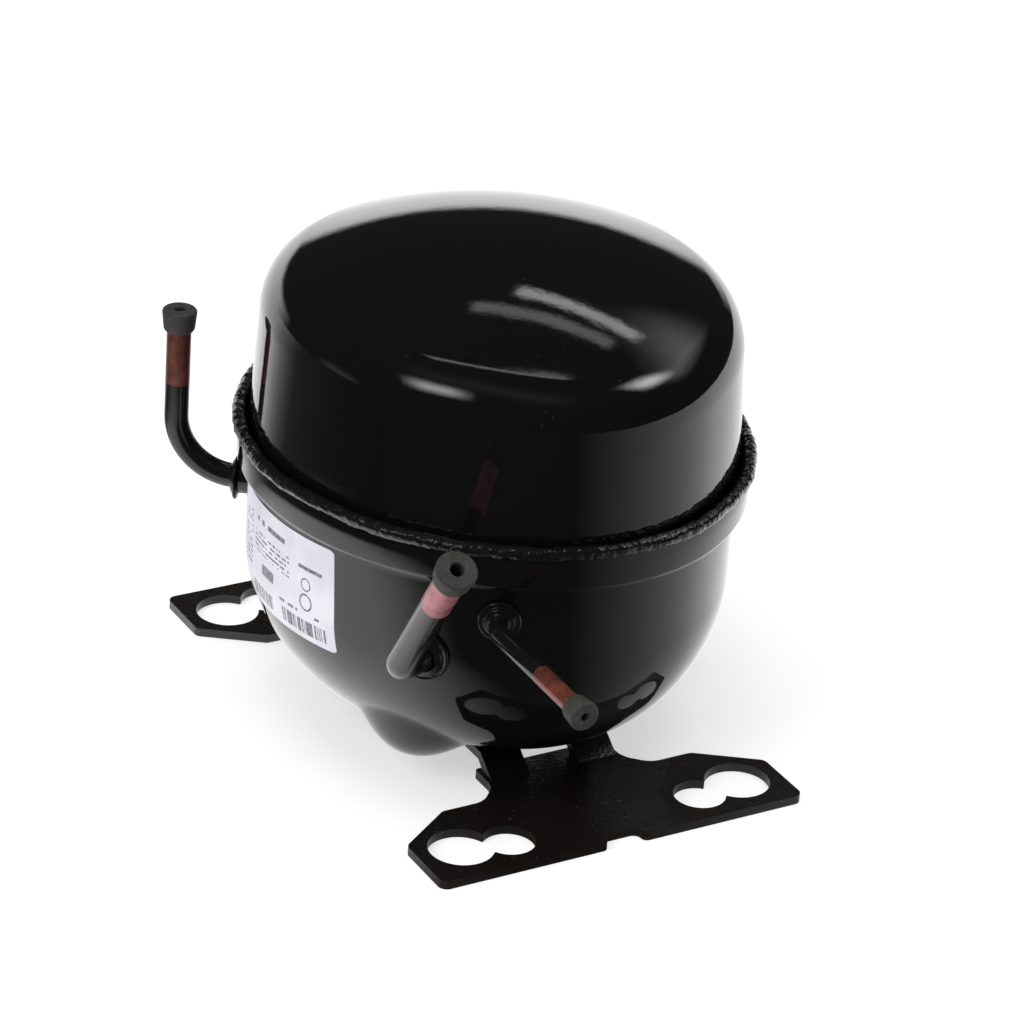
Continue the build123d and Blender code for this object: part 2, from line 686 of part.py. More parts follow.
def cylinder_block():
    frame = block((-PLATFORM_X, PLATFORM_X), (-PLATFORM_Y, PLATFORM_Y), (PLATFORM_LOW, PLATFORM_TOP))
    frame = fillet(frame.edges().filter_by(Axis.Z), 8)
    for pillar in four(post(LOBE_X, LOBE_Y, STACK_HIGH, PLATFORM_LOW, PILLAR_R)):
        frame += pillar
    for side in (-1, 1):
        frame -= post(side * 27, -16, PLATFORM_LOW - 1, PLATFORM_TOP + 1, 9)
    frame += post(0, 0, HUB_LOW, PLATFORM_LOW, HUB_R)
    frame += block((-14, 14), (24, VALVE_FACE), (PLATFORM_LOW, CYLINDER_Z))
    frame += rod((0, CYLINDER_START, CYLINDER_Z), (0, VALVE_FACE, CYLINDER_Z), CYLINDER_OUTER)
    square = (CYLINDER_Z - HEAD_HALF, CYLINDER_Z + HEAD_HALF)
    flange = block((-HEAD_HALF, HEAD_HALF), (VALVE_FACE - 8, VALVE_FACE), square)
    frame += fillet(flange.edges().filter_by(Axis.Y), 4)
    x, y = DISCHARGE_MUFFLER_AT
    frame += post(x, y, PLATFORM_LOW, DISCHARGE_MUFFLER_TOP, DISCHARGE_MUFFLER_R)
    well = post(x, y, PLATFORM_TOP, DISCHARGE_MUFFLER_TOP + 1, DISCHARGE_MUFFLER_R - 2.5)
    well -= post(x, y, PLATFORM_TOP, DISCHARGE_MUFFLER_TOP + 1, 4)
    frame -= well
    frame -= post(x, y, PLATFORM_TOP, DISCHARGE_MUFFLER_TOP + 1, HEAD_BOLT_R)
    frame -= post(0, 0, HUB_LOW - 1, PLATFORM_TOP + 1, SHAFT_R + RUNNING)
    frame -= rod((0, CYLINDER_START - 1, CYLINDER_Z), (0, VALVE_FACE + 1, CYLINDER_Z), BORE_R)
    frame -= rod((x, y, LOOP_Z), LOOP_POINTS[1], LOOP_R)
    for bolt_x, bolt_z in bolt_places():
        frame -= rod((bolt_x, 42, bolt_z), (bolt_x, VALVE_FACE + 1, bolt_z), HEAD_BOLT_R)
    for hole in four(post(LOBE_X, LOBE_Y, STACK_HIGH - 1, PLATFORM_LOW - 4, BOLT_R)):
        frame -= hole
    return frame


def thrust_washer():
    ring = post(0, 0, PLATFORM_TOP, PLATFORM_TOP + WASHER, 13)
    return ring - post(0, 0, PLATFORM_TOP - 1, WEB_LOW + 1, SHAFT_R + 0.3)


def crankshaft():
    shaft = post(0, 0, SHAFT_LOW, WEB_LOW, SHAFT_R)
    shaft += post(0, 0, WEB_LOW, WEB_TOP, WEB_R)
    shaft += post(0, 0, WEB_LOW, WEB_TOP, WEB_SWEEP) & block((-30, 30), (3, 30), (WEB_LOW, WEB_TOP))
    shaft += post(0, -CRANK, WEB_LOW, CRANKPIN_TOP, CRANKPIN_R)
    shaft -= post(0, -CRANK / 2, SHAFT_LOW - 1, 100, RESTRICTOR_R + RUNNING)
    shaft -= rod((0, -CRANK / 2, 98), (0, -CRANK, CRANKPIN_TOP + 1), 1.2)
    shaft -= rod((0, -CRANK / 2, 96), (0, SHAFT_R + 1, 96), 1.2)
    return shaft


def oil_restrictor():
    ring = post(0, -CRANK / 2, SHAFT_LOW + 1, SHAFT_LOW + 5, RESTRICTOR_R)
    return ring - post(0, -CRANK / 2, SHAFT_LOW, SHAFT_LOW + 6, 0.9)


def oil_pickup():
    outline = [
        (2.0, 15.5),
        (3.4, 15.5),
        (8.9, 30.5),
        (8.9, SHAFT_LOW + 8),
        (SHAFT_R, SHAFT_LOW + 8),
        (SHAFT_R, 30.9),
    ]
    profile = make_face(Polyline(*[(x, 0, z) for x, z in outline], close=True))
    return revolve(profile, Axis.Z)


def slide_block():
    bar = rod((-BLOCK_HALF, -CRANK, CYLINDER_Z), (BLOCK_HALF, -CRANK, CYLINDER_Z), BLOCK_R)
    bar = chamfer(bar.edges().filter_by(GeomType.CIRCLE), 0.6)
    return bar - post(0, -CRANK, WEB_TOP, CRANKPIN_TOP + 4, CRANKPIN_R + RUNNING)


def yoke_tube():
    left = (-YOKE_HALF, -CRANK, CYLINDER_Z)
    right = (YOKE_HALF, -CRANK, CYLINDER_Z)
    tube = rod(left, right, YOKE_R)
    tube -= rod((-YOKE_HALF - 1, -CRANK, CYLINDER_Z), (YOKE_HALF + 1, -CRANK, CYLINDER_Z), YOKE_BORE)
    reach = CRANK + SLOT_CLEAR
    half = CRANKPIN_R + SLOT_CLEAR
    slot = block((-reach, reach), (-CRANK - half, -CRANK + half), (WEB_TOP, CYLINDER_Z))
    for side in (-1, 1):
        slot += post(side * reach, -CRANK, WEB_TOP, CYLINDER_Z, half)
    return tube - slot


def piston():
    crown = VALVE_FACE - TOP_CLEARANCE - 2 * CRANK
    skirt = crown - PISTON_LENGTH
    body = rod((0, skirt, CYLINDER_Z), (0, crown, CYLINDER_Z), PISTON_R)
    for groove in (5.0, 8.0):
        ring = rod((0, crown - groove - 0.8, CYLINDER_Z), (0, crown - groove, CYLINDER_Z), PISTON_R + 1)
        ring -= rod((0, crown - groove - 1, CYLINDER_Z), (0, crown, CYLINDER_Z), PISTON_R - 0.5)
        body -= ring
    body += rod((0, -CRANK, CYLINDER_Z), (0, skirt + 1, CYLINDER_Z), 8)
    return body - rod((-30, -CRANK, CYLINDER_Z), (30, -CRANK, CYLINDER_Z), YOKE_R)


# ---------------------------------------------------------------- valves and head


def head_square(start, thick):
    """A square plate of the head's outline, with its four bolt holes."""
    square = (CYLINDER_Z - HEAD_HALF, CYLINDER_Z + HEAD_HALF)
    plate = block((-HEAD_HALF, HEAD_HALF), (start, start + thick), square)
    plate = fillet(plate.edges().filter_by(Axis.Y), 4)
    for x, z in bolt_places():
        plate -= rod((x, start - 1, z), (x, start + thick + 1, z), HEAD_BOLT_R + BOLT_CLEAR)
    return plate


def reed(start, z_offset, half):
    """One spring-steel leaf with a round tip."""
    z = CYLINDER_Z + z_offset
    leaf = block((REED_ROOT, REED_TIP - half), (start, start + REED), (z - half, z + half))
    return leaf + rod((REED_TIP - half, start, z), (REED_TIP - half, start + REED, z), half)


def suction_gasket():
    centre = (0, VALVE_FACE - 1, CYLINDER_Z)
    return head_square(VALVE_FACE, GASKET) - rod(centre, (0, VALVE_FACE + 2, CYLINDER_Z), CHAMBER)


def suction_sheet():
    sheet = head_square(SHEET_FACE, SHEET)
    z = CYLINDER_Z + SUCTION_REED_Z
    half = SUCTION_REED_HALF + 0.8
    straight = (REED_ROOT - 0.1, REED_TIP - half + 0.8)
    sheet -= block(straight, (SHEET_FACE - 1, SHEET_FACE + 1), (z - half, z + half))
    tip = REED_TIP - SUCTION_REED_HALF
    sheet -= rod((tip, SHEET_FACE - 1, z), (tip, SHEET_FACE + 1, z), half)
    port_z = CYLINDER_Z + DISCHARGE_REED_Z
    return sheet - rod((PORT_X, SHEET_FACE - 1, port_z), (PORT_X, SHEET_FACE + 1, port_z), DISCHARGE_PORT)


def suction_reed():
    return reed(SHEET_FACE + (SHEET - REED) / 2, SUCTION_REED_Z, SUCTION_REED_HALF)


def valve_plate():
    plate = head_square(PLATE_FACE, VALVE_PLATE)
    for z_offset, radius in ((SUCTION_REED_Z, SUCTION_PORT), (DISCHARGE_REED_Z, DISCHARGE_PORT)):
        z = CYLINDER_Z + z_offset
        plate -= rod((PORT_X, PLATE_FACE - 1, z), (PORT_X, HEAD_GASKET_FACE + 1, z), radius)
    return plate


def discharge_reed():
    return reed(HEAD_GASKET_FACE + 0.05, DISCHARGE_REED_Z, DISCHARGE_REED_HALF)


def discharge_reed_stop():
    z = CYLINDER_Z + DISCHARGE_REED_Z
    half = DISCHARGE_REED_HALF
    low = HEAD_GASKET_FACE + REED + STOP_GAP
    foot = block((REED_ROOT - 2.5, REED_ROOT - 0.2), (HEAD_GASKET_FACE, low + 0.8), (z - half, z + half))
    return foot + block((REED_ROOT - 2.5, REED_TIP + 1), (low, low + 0.8), (z - half, z + half))


def chambers(start, depth):
    """The suction and discharge chambers, one below the other."""
    wide = (-CHAMBER, CHAMBER)
    deep = (start, start + depth)
    lower = block(wide, deep, (CYLINDER_Z - CHAMBER, CYLINDER_Z - 1))
    return lower + block(wide, deep, (CYLINDER_Z + 1.5, CYLINDER_Z + CHAMBER))


def head_gasket():
    return head_square(HEAD_GASKET_FACE, GASKET) - chambers(HEAD_GASKET_FACE - 1, GASKET + 2)


def cylinder_head():
    head = head_square(HEAD_FACE, HEAD) - chambers(HEAD_FACE - 1, HEAD - 2)
    for side, height, radius in ((-1, MUFFLER_PIPE_Z, MUFFLER_PIPE), (1, DISCHARGE_PIPE_Z, LOOP_R)):
        inside = (side * (CHAMBER - 1), PORT_ROW, height)
        head -= rod(inside, (side * (HEAD_HALF + 1), PORT_ROW, height), radius)
    return head


def head_bolts():
    bolts = []
    for x, z in bolt_places():
        far = HEAD_FACE + HEAD
        shank = rod((x, 43, z), (x, far, z), HEAD_BOLT_R)
        bolts.append(shank + rod((x, far, z), (x, far + 3.5, z), HEAD_BOLT_HEAD))
    return group(bolts)


def suction_muffler():
    x, y, z = SUCTION_MUFFLER
    body = fillet(block(x, y, z).edges(), 4)
    side = x[0] + 17
    start = (side, y[1] - 2, MUFFLER_PIPE_Z)
    route = [start, (side, PORT_ROW, MUFFLER_PIPE_Z), (-CHAMBER - 2, PORT_ROW, MUFFLER_PIPE_Z)]
    body += pipe(route, 5, MUFFLER_PIPE)
    mouth_x = x[0] + 13
    body += rod((mouth_x, y[0] + 1, z[0] + 8), (mouth_x, y[0] - 5, z[0] + 8), 4)
    body -= rod((mouth_x, y[0] + 1, z[0] + 8), (mouth_x, y[0] - 6, z[0] + 8), 3)
    bore_start = (x[1], PORT_ROW, MUFFLER_PIPE_Z)
    body -= rod(bore_start, (-CHAMBER - 1, PORT_ROW, MUFFLER_PIPE_Z), MUFFLER_PIPE - 1)
    return body


def discharge_pipe():
    x, y = DISCHARGE_MUFFLER_AT
    route = [
        (CHAMBER + 1, PORT_ROW, DISCHARGE_PIPE_Z),
        (x, PORT_ROW, DISCHARGE_PIPE_Z),
        (x, y + 7, DISCHARGE_PIPE_Z),
        (x, y + 7, DISCHARGE_MUFFLER_TOP),
    ]
    return pipe(route, 5, LOOP_R, LOOP_R - TUBE_WALL)


def discharge_muffler_cover():
    x, y = DISCHARGE_MUFFLER_AT
    top = DISCHARGE_MUFFLER_TOP + MUFFLER_COVER
    cover = post(x, y, DISCHARGE_MUFFLER_TOP, top, DISCHARGE_MUFFLER_R)
    cover = chamfer(cover.edges().group_by(Axis.Z)[-1], 0.8)
    cover -= post(x, y + 7, DISCHARGE_MUFFLER_TOP - 1, top + 1, LOOP_R)
    return cover - post(x, y, DISCHARGE_MUFFLER_TOP - 1, top + 1, HEAD_BOLT_R + BOLT_CLEAR)


def discharge_muffler_screw():
    x, y = DISCHARGE_MUFFLER_AT
    top = DISCHARGE_MUFFLER_TOP + MUFFLER_COVER
    return post(x, y, PLATFORM_TOP + 2, top, HEAD_BOLT_R) + post(x, y, top, top + 2.5, 3.4)


# ---------------------------------------------------------------- tubes

LOOP_END = along(DISCHARGE_AT, DISCHARGE_FACE, -TUBE_INSIDE)
LOOP_POINTS = [
    (DISCHARGE_MUFFLER_AT[0] + DISCHARGE_MUFFLER_R - 2, DISCHARGE_MUFFLER_AT[1], LOOP_Z),
    (57, DISCHARGE_MUFFLER_AT[1], LOOP_Z),
    (57, -34, LOOP_Z - 10),
    (30, -60, 92),
    (-8, -56, 79),
    along(LOOP_END, DISCHARGE_FACE, -12),
    LOOP_END,
]
LOOP_BENDS = [8, 14, 18, 14, 6]
TUBE_HOLES = [
    (SUCTION_AT, SUCTION_FACE, SUCTION_R),
    (DISCHARGE_AT, DISCHARGE_FACE, DISCHARGE_R),
    (PROCESS_AT, PROCESS_FACE, PROCESS_R),
]


def stub_tube(at, out, stub, way, run, bend, radius):
    """A stub that leaves the wall one way and turns another; returns it and its end."""
    corner = along(at, out, stub)
    end = along(corner, way, run)
    return pipe([along(at, out, -TUBE_INSIDE), corner, end], bend, radius, radius - TUBE_WALL), end


def collar(at, face, out, radius, rise, wall):
    """A steel collar brazed round a tube where it crosses the wall."""
    sleeve = radius + COLLAR_SLEEVE
    body = rod(along(at, face, -5), along(at, face, rise + COLLAR_THICK + 1.0), sleeve)
    disc = rod(along(at, face, rise), along(at, face, rise + COLLAR_THICK), sleeve + COLLAR_FLANGE)
    body += chamfer(disc.edges().filter_by(GeomType.CIRCLE), 0.3)
    body -= rod(along(at, out, -20), along(at, out, 20), radius)
    return body - wall


os.makedirs("parts", exist_ok=True)


def save(name, piece):
    export_step(piece, f"parts/{name}.step")


lower = lower_shell()
upper = upper_shell()
bowl_form = lower_outer()
save("lower_shell", lower)
save("upper_shell", upper)
save("seam_weld", seam_weld(lower, upper))
plate = front_plate(bowl_form)
save("front_base_plate", plate)
save("rear_base_plate", mirror(plate, about=Plane.XZ))
save("rating_label", rating_label())

suction, suction_end = stub_tube(
    SUCTION_AT, SUCTION_OUT, SUCTION_STUB, SUCTION_WAY, SUCTION_RUN, SUCTION_BEND, SUCTION_R
)
discharge, discharge_end = stub_tube(
    DISCHARGE_AT, DISCHARGE_FACE, DISCHARGE_STUB, DISCHARGE_WAY, DISCHARGE_RUN, DISCHARGE_BEND, DISCHARGE_R
)
process, process_end = stub_tube(
    PROCESS_AT, PROCESS_FACE, PROCESS_STUB, PROCESS_WAY, PROCESS_RUN, PROCESS_BEND, PROCESS_R
)
save("suction_tube", suction)
save("discharge_tube", discharge)
save("process_tube", process)
suction_collar = collar(SUCTION_AT, SUCTION_FACE, SUCTION_OUT, SUCTION_R, COLLAR_RISE, lower)
discharge_collar = collar(DISCHARGE_AT, DISCHARGE_FACE, DISCHARGE_FACE, DISCHARGE_R, COLLAR_RISE, lower)
process_collar = collar(PROCESS_AT, PROCESS_FACE, PROCESS_FACE, PROCESS_R, PROCESS_COLLAR_RISE, lower)
save("suction_collar", suction_collar)
save("discharge_collar", discharge_collar)
save("process_collar", process_collar)
save("suction_plug", plug(suction_end, SUCTION_WAY, SUCTION_R))
save("discharge_plug", plug(discharge_end, DISCHARGE_WAY, DISCHARGE_R))
save("process_plug", plug(process_end, PROCESS_WAY, PROCESS_R))

save("terminal_body", terminal_body())
save("terminal_glass", terminal_glass())
save("terminal_pins", terminal_pins())
save("terminal_fence", terminal_fence(bowl_form))
save("earth_screw", earth_screw())
save("terminal_socket", terminal_socket())
lead_x = (SOCKET_X[0] + SOCKET_X[1]) / 2
lead_top = STACK_HIGH + 8
lead_start = (lead_x, TERMINAL_Y, TERMINAL_Z + SOCKET_HALF_Z + 2)
lead_route = [lead_start, (lead_x, TERMINAL_Y, lead_top), (TURNS_OUT - 2, TERMINAL_Y - 7, lead_top)]
save("motor_leads", pipe(lead_route, 7, LEAD_R))

run_turns = [turn for turn in slot_turns() if turn % 45 != 0]
start_turns = [turn for turn in slot_turns() if turn % 45 == 0]
cage = rotor_cage()
save("stator_core", stator_core())
save("run_winding", winding(run_turns, TURNS_SPLIT, TURNS_OUT, RUN_TURNS))
save("start_winding", winding(start_turns, TURNS_IN, TURNS_SPLIT - 0.4, START_TURNS))
save("rotor_cage", cage)
save("rotor_core", rotor_core(cage))
save("rotor_counterweight", rotor_counterweight())

save("spring_seats", spring_seats())
save("suspension_springs", suspension_springs())
save("spring_caps", spring_caps())
save("stator_bolts", stator_bolts())

save("cylinder_block", cylinder_block())
save("thrust_washer", thrust_washer())
save("crankshaft", crankshaft())
save("oil_restrictor", oil_restrictor())
save("oil_pickup", oil_pickup())
save("slide_block", slide_block())
save("yoke_tube", yoke_tube())
save("piston", piston())

save("suction_gasket", suction_gasket())
save("suction_sheet", suction_sheet())
save("suction_reed", suction_reed())
save("valve_plate", valve_plate())
save("discharge_reed", discharge_reed())
save("discharge_reed_stop", discharge_reed_stop())
save("head_gasket", head_gasket())
save("cylinder_head", cylinder_head())
save("head_bolts", head_bolts())
save("suction_muffler", suction_muffler())
save("discharge_pipe", discharge_pipe())
save("discharge_muffler_cover", discharge_muffler_cover())
save("discharge_muffler_screw", discharge_muffler_screw())
save("discharge_loop", pipe(LOOP_POINTS, LOOP_BENDS, LOOP_R, LOOP_R - TUBE_WALL))
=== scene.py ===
# %% [markdown]
# # A hermetic compressor, dressed for a studio picture
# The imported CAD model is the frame: every body, size and place comes from it. What follows gives
# each visible piece the shape and finish that the real one has. The welded steel shell is a press
# drawing under glossy stoved paint, so most of what we see is reflection, and reflections show
# every dent in a mesh. That is why the big skins are rebuilt here from smooth rings of points.

# %% Load the frame
import math

import bmesh
import bpy
import numpy as np
from mathutils import Matrix, Vector
from mathutils.geometry import tessellate_polygon


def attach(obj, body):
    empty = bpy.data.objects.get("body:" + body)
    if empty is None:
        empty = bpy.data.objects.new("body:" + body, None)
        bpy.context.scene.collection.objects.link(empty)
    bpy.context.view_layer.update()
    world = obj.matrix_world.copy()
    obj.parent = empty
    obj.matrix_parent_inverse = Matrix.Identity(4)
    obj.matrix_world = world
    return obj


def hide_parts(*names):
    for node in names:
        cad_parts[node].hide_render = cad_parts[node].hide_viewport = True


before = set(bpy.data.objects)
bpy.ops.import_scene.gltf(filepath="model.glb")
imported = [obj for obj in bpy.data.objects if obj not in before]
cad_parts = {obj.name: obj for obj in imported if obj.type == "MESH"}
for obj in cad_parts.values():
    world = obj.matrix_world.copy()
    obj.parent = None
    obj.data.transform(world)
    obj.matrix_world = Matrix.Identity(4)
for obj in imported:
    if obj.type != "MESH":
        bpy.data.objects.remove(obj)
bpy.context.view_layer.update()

MM = 0.001

# %% [markdown]
# ## Node helpers
# A material is a small program made of nodes. Two short helpers place a node and wire its inputs,
# so that each recipe below reads as a list of steps.

# %% Helpers for nodes
def put(tree, kind, settings=None, inputs=None):
    """Places a node. Inputs are given by socket name or number, as values or as sockets to link."""
    node = tree.nodes.new(kind)
    for key, value in (settings or {}).items():
        setattr(node, key, value)
    for key, value in (inputs or {}).items():
        socket = node.inputs[key]
        if isinstance(value, bpy.types.NodeSocket):
            tree.links.new(value, socket)
        else:
            socket.default_value = value
    return node


def math_node(tree, operation, first, second=0.0, third=0.0):
    return put(tree, "ShaderNodeMath", {"operation": operation}, {0: first, 1: second, 2: third}).outputs[0]


def times(tree, first, second):
    return math_node(tree, "MULTIPLY", first, second)


def vector_math(tree, operation, first, second=(0.0, 0.0, 0.0)):
    return put(tree, "ShaderNodeVectorMath", {"operation": operation}, {0: first, 1: second}).outputs


def wire(tree, node, links):
    """Links sockets to a node's inputs, which are given by name."""
    for name, socket in links.items():
        tree.links.new(socket, node.inputs[name])


def blend_colours(tree, factor, first, second):
    node = put(tree, "ShaderNodeMix", {"data_type": "RGBA"}, {0: factor, 6: first, 7: second})
    return node.outputs[2]


def remap(tree, value, low, high, to_low=0.0, to_high=1.0):
    node = put(tree, "ShaderNodeMapRange", None, {0: value, 1: low, 2: high, 3: to_low, 4: to_high})
    return node.outputs[0]


def noise(tree, vector, scale, detail=3.0, roughness=0.5):
    inputs = {"Vector": vector, "Scale": scale, "Detail": detail, "Roughness": roughness}
    return put(tree, "ShaderNodeTexNoise", None, inputs).outputs[0]


def new_group(name, inputs, outputs):
    """An empty shader node group with named sockets; returns its tree and its two ends."""
    tree = bpy.data.node_groups.new(name, "ShaderNodeTree")
    for label, kind, value in inputs:
        socket = tree.interface.new_socket(label, in_out="INPUT", socket_type=kind)
        if value is not None:
            socket.default_value = value
    for label, kind in outputs:
        tree.interface.new_socket(label, in_out="OUTPUT", socket_type=kind)
    return tree, tree.nodes.new("NodeGroupInput").outputs, tree.nodes.new("NodeGroupOutput").inputs


FLOAT, COLOUR, VECTOR = "NodeSocketFloat", "NodeSocketColor", "NodeSocketVector"

# %% [markdown]
# ## Effects that several finishes share
# Sprayed paint dries with a faint ripple, like the skin of an orange. Dust settles in specks.
# Metal parts carry a grain from rolling, casting or turning. Each effect is a group, built once,
# and every material sets its own scale and strength.

# %% The shared groups
def build_paint_skin():
    """The ripple of sprayed paint, with dust specks and a patchy gloss."""
    tree, given, out = new_group(
        "paint_skin",
        [("Vector", VECTOR, None), ("Ripple Scale", FLOAT, 300.0), ("Ripple Depth", FLOAT, 0.02),
         ("Dust", FLOAT, 0.3), ("Gloss", FLOAT, 0.07)],
        [("Normal", VECTOR), ("Dust", FLOAT), ("Roughness", FLOAT)],
    )
    fine = noise(tree, given["Vector"], given["Ripple Scale"], 2.0)
    wide = noise(tree, given["Vector"], 34.0, 1.0)
    height = math_node(tree, "MULTIPLY_ADD", wide, 4.0, fine)
    bump = put(tree, "ShaderNodeBump", None,
               {"Strength": given["Ripple Depth"], "Distance": 0.002, "Height": height})
    specks = put(tree, "ShaderNodeTexVoronoi", None, {"Vector": given["Vector"], "Scale": 420.0})
    near = remap(tree, specks.outputs["Distance"], 0.13, 0.07)
    patch = remap(tree, noise(tree, given["Vector"], 95.0, 4.0, 0.7), 0.52, 0.68)
    dust = times(tree, times(tree, near, patch), given["Dust"])
    smear = remap(tree, noise(tree, given["Vector"], 22.0, 5.0, 0.6), 0.35, 0.75, 0.0, 0.05)
    rough = math_node(tree, "ADD", given["Gloss"], math_node(tree, "MULTIPLY_ADD", dust, 0.5, smear))
    tree.links.new(bump.outputs[0], out["Normal"])
    tree.links.new(dust, out["Dust"])
    tree.links.new(rough, out["Roughness"])
    return tree


def build_grain():
    """A grain of light and dark with its own relief, for castings, sheet and moulded parts."""
    tree, given, out = new_group(
        "grain",
        [("Vector", VECTOR, None), ("Scale", FLOAT, 900.0), ("Depth", FLOAT, 0.2),
         ("Light", COLOUR, (0.5, 0.5, 0.5, 1)), ("Dark", COLOUR, (0.3, 0.3, 0.3, 1)), ("Gloss", FLOAT, 0.4)],
        [("Color", COLOUR), ("Normal", VECTOR), ("Roughness", FLOAT)],
    )
    fine = noise(tree, given["Vector"], given["Scale"], 4.0, 0.65)
    broad = noise(tree, given["Vector"], 60.0, 4.0, 0.6)
    mixed = math_node(tree, "MULTIPLY_ADD", fine, 0.5, times(tree, broad, 0.5))
    colour = blend_colours(tree, remap(tree, mixed, 0.35, 0.65), given["Dark"], given["Light"])
    bump = put(tree, "ShaderNodeBump", None,
               {"Strength": given["Depth"], "Distance": 0.0004, "Height": fine})
    rough = math_node(tree, "MULTIPLY_ADD", math_node(tree, "SUBTRACT", mixed, 0.5), 0.4, given["Gloss"])
    tree.links.new(colour, out["Color"])
    tree.links.new(bump.outputs[0], out["Normal"])
    tree.links.new(rough, out["Roughness"])
    return tree


def build_rubs():
    """Thin handling scratches and rubbed spots."""
    tree, given, out = new_group(
        "rubs", [("Vector", VECTOR, None), ("Amount", FLOAT, 0.5)], [("Mask", FLOAT)]
    )
    stretched = put(tree, "ShaderNodeMapping", {"vector_type": "POINT"},
                    {"Vector": given["Vector"], "Rotation": (0.3, 0.2, 0.7), "Scale": (1.0, 9.0, 3.0)})
    lines = noise(tree, stretched.outputs[0], 120.0, 6.0, 0.7)
    areas = noise(tree, given["Vector"], 45.0, 3.0, 0.6)
    mask = times(tree, remap(tree, lines, 0.62, 0.7), remap(tree, areas, 0.5, 0.62))
    tree.links.new(times(tree, mask, given["Amount"]), out["Mask"])
    return tree


PAINT_SKIN = build_paint_skin()
GRAIN = build_grain()
RUBS = build_rubs()


def use(tree, group, inputs):
    return put(tree, "ShaderNodeGroup", {"node_tree": group}, inputs).outputs


def start_material(name, **shader_values):
    """A material with its Principled shader, and the object's own coordinates for patterns."""
    material = bpy.data.materials.new(name)
    material.use_nodes = True
    tree = material.node_tree
    shader = tree.nodes["Principled BSDF"]
    for key, value in shader_values.items():
        shader.inputs[key.replace("_", " ")].default_value = value
    place = tree.nodes.new("ShaderNodeTexCoord").outputs["Object"]
    return material, tree, shader, place


print("groups:", sorted(group.name for group in bpy.data.node_groups))

# %% [markdown]
# ## Painted finishes
# The shell, the weld and the feet are one coat of black, stoved hard. On the smooth drawing it is
# a mirror, over the weld it is lumpy, and on the flat feet it dries satin and gets rubbed. So one
# recipe with four sets of numbers keeps them a family.

# %% Black paints
def paint(name, tint, gloss, scale, depth, dust, rubbed, coat):
    material, tree, shader, place = start_material(name, IOR=1.5, Coat_Weight=coat, Coat_Roughness=0.03)
    skin = use(tree, PAINT_SKIN, {"Vector": place, "Ripple Scale": scale, "Ripple Depth": depth,
                                  "Dust": dust, "Gloss": gloss})
    worn = use(tree, RUBS, {"Vector": place, "Amount": rubbed})["Mask"]
    dusty = blend_colours(tree, skin["Dust"], tint, (0.16, 0.15, 0.14, 1))
    colour = blend_colours(tree, worn, dusty, (0.10, 0.085, 0.07, 1))
    rough = math_node(tree, "MULTIPLY_ADD", worn, 0.2, skin["Roughness"])
    wire(tree, shader, {"Base Color": colour, "Roughness": rough, "Normal": skin["Normal"]})
    return material


SHELL_PAINT = paint("shell_paint", (0.0035, 0.0031, 0.0031, 1), 0.035, 260.0, 0.018, 0.22, 0.0, 0.5)
WELD_PAINT = paint("weld_paint", (0.0050, 0.0044, 0.0042, 1), 0.10, 900.0, 0.25, 0.5, 0.0, 0.4)
PLATE_PAINT = paint("plate_paint", (0.0075, 0.0060, 0.0050, 1), 0.20, 1100.0, 0.16, 0.9, 0.6, 0.15)
COLLAR_PAINT = paint("collar_paint", (0.0055, 0.0045, 0.0042, 1), 0.12, 800.0, 0.15, 0.6, 0.2, 0.3)

# %% [markdown]
# ## Copper stubs
# The tubes are painted with the shell, but their last centimetres are masked so that they can be
# brazed. The bare part has darkened in its own way on each tube. The sweep below leaves a number
# on every point, its distance from the open end, and the material reads it to draw the paint line.

# %% Copper, bare and painted
def tube_finish(name, bare, light, dark, metal, gloss):
    """Paint up to a slightly wavy line, then bare tube with drawing marks and tarnish."""
    material, tree, shader, place = start_material(name, IOR=1.5, Coat_Weight=0.25, Coat_Roughness=0.06)
    away = put(tree, "ShaderNodeAttribute", {"attribute_name": "from_end"}).outputs["Fac"]
    wave = times(tree, math_node(tree, "SUBTRACT", noise(tree, place, 180.0), 0.5), 1.6 * MM)
    line = math_node(tree, "ADD", away, wave)
    painted = remap(tree, line, bare - 0.25 * MM, bare + 0.25 * MM)
    edge = math_node(tree, "SUBTRACT", remap(tree, line, bare - 1.6 * MM, bare), painted)
    tarnish = remap(tree, noise(tree, place, 210.0, 5.0, 0.65), 0.35, 0.65)
    copper = blend_colours(tree, tarnish, dark, light)
    ringed = blend_colours(tree, times(tree, edge, 0.5), copper, dark)
    spots = use(tree, RUBS, {"Vector": place, "Amount": 0.6})["Mask"]
    bright = blend_colours(tree, spots, ringed, (0.75, 0.45, 0.33, 1))
    colour = blend_colours(tree, painted, bright, (0.006, 0.005, 0.0045, 1))
    bare_share = math_node(tree, "SUBTRACT", 1.0, painted)
    smooth = math_node(tree, "MULTIPLY_ADD", bare_share, gloss, 0.10)
    rough = math_node(tree, "MULTIPLY_ADD", tarnish, 0.12, smooth)
    grain = use(tree, GRAIN, {"Vector": place, "Scale": 700.0, "Depth": 0.10})
    wire(tree, shader, {"Base Color": colour, "Metallic": times(tree, bare_share, metal),
                        "Roughness": rough, "Normal": grain["Normal"]})
    return material


COPPERS = {
    # tube: bare length, light colour, dark colour, metallic, roughness
    "suction": (22 * MM, (0.52, 0.20, 0.24, 1), (0.28, 0.085, 0.11, 1), 0.55, 0.22),
    "discharge": (25 * MM, (0.26, 0.075, 0.045, 1), (0.10, 0.032, 0.024, 1), 0.6, 0.20),
    "process": (24 * MM, (0.20, 0.065, 0.045, 1), (0.11, 0.036, 0.026, 1), 0.6, 0.22),
}
COPPER_FINISHES = {tube: tube_finish(tube + "_copper", *numbers) for tube, numbers in COPPERS.items()}

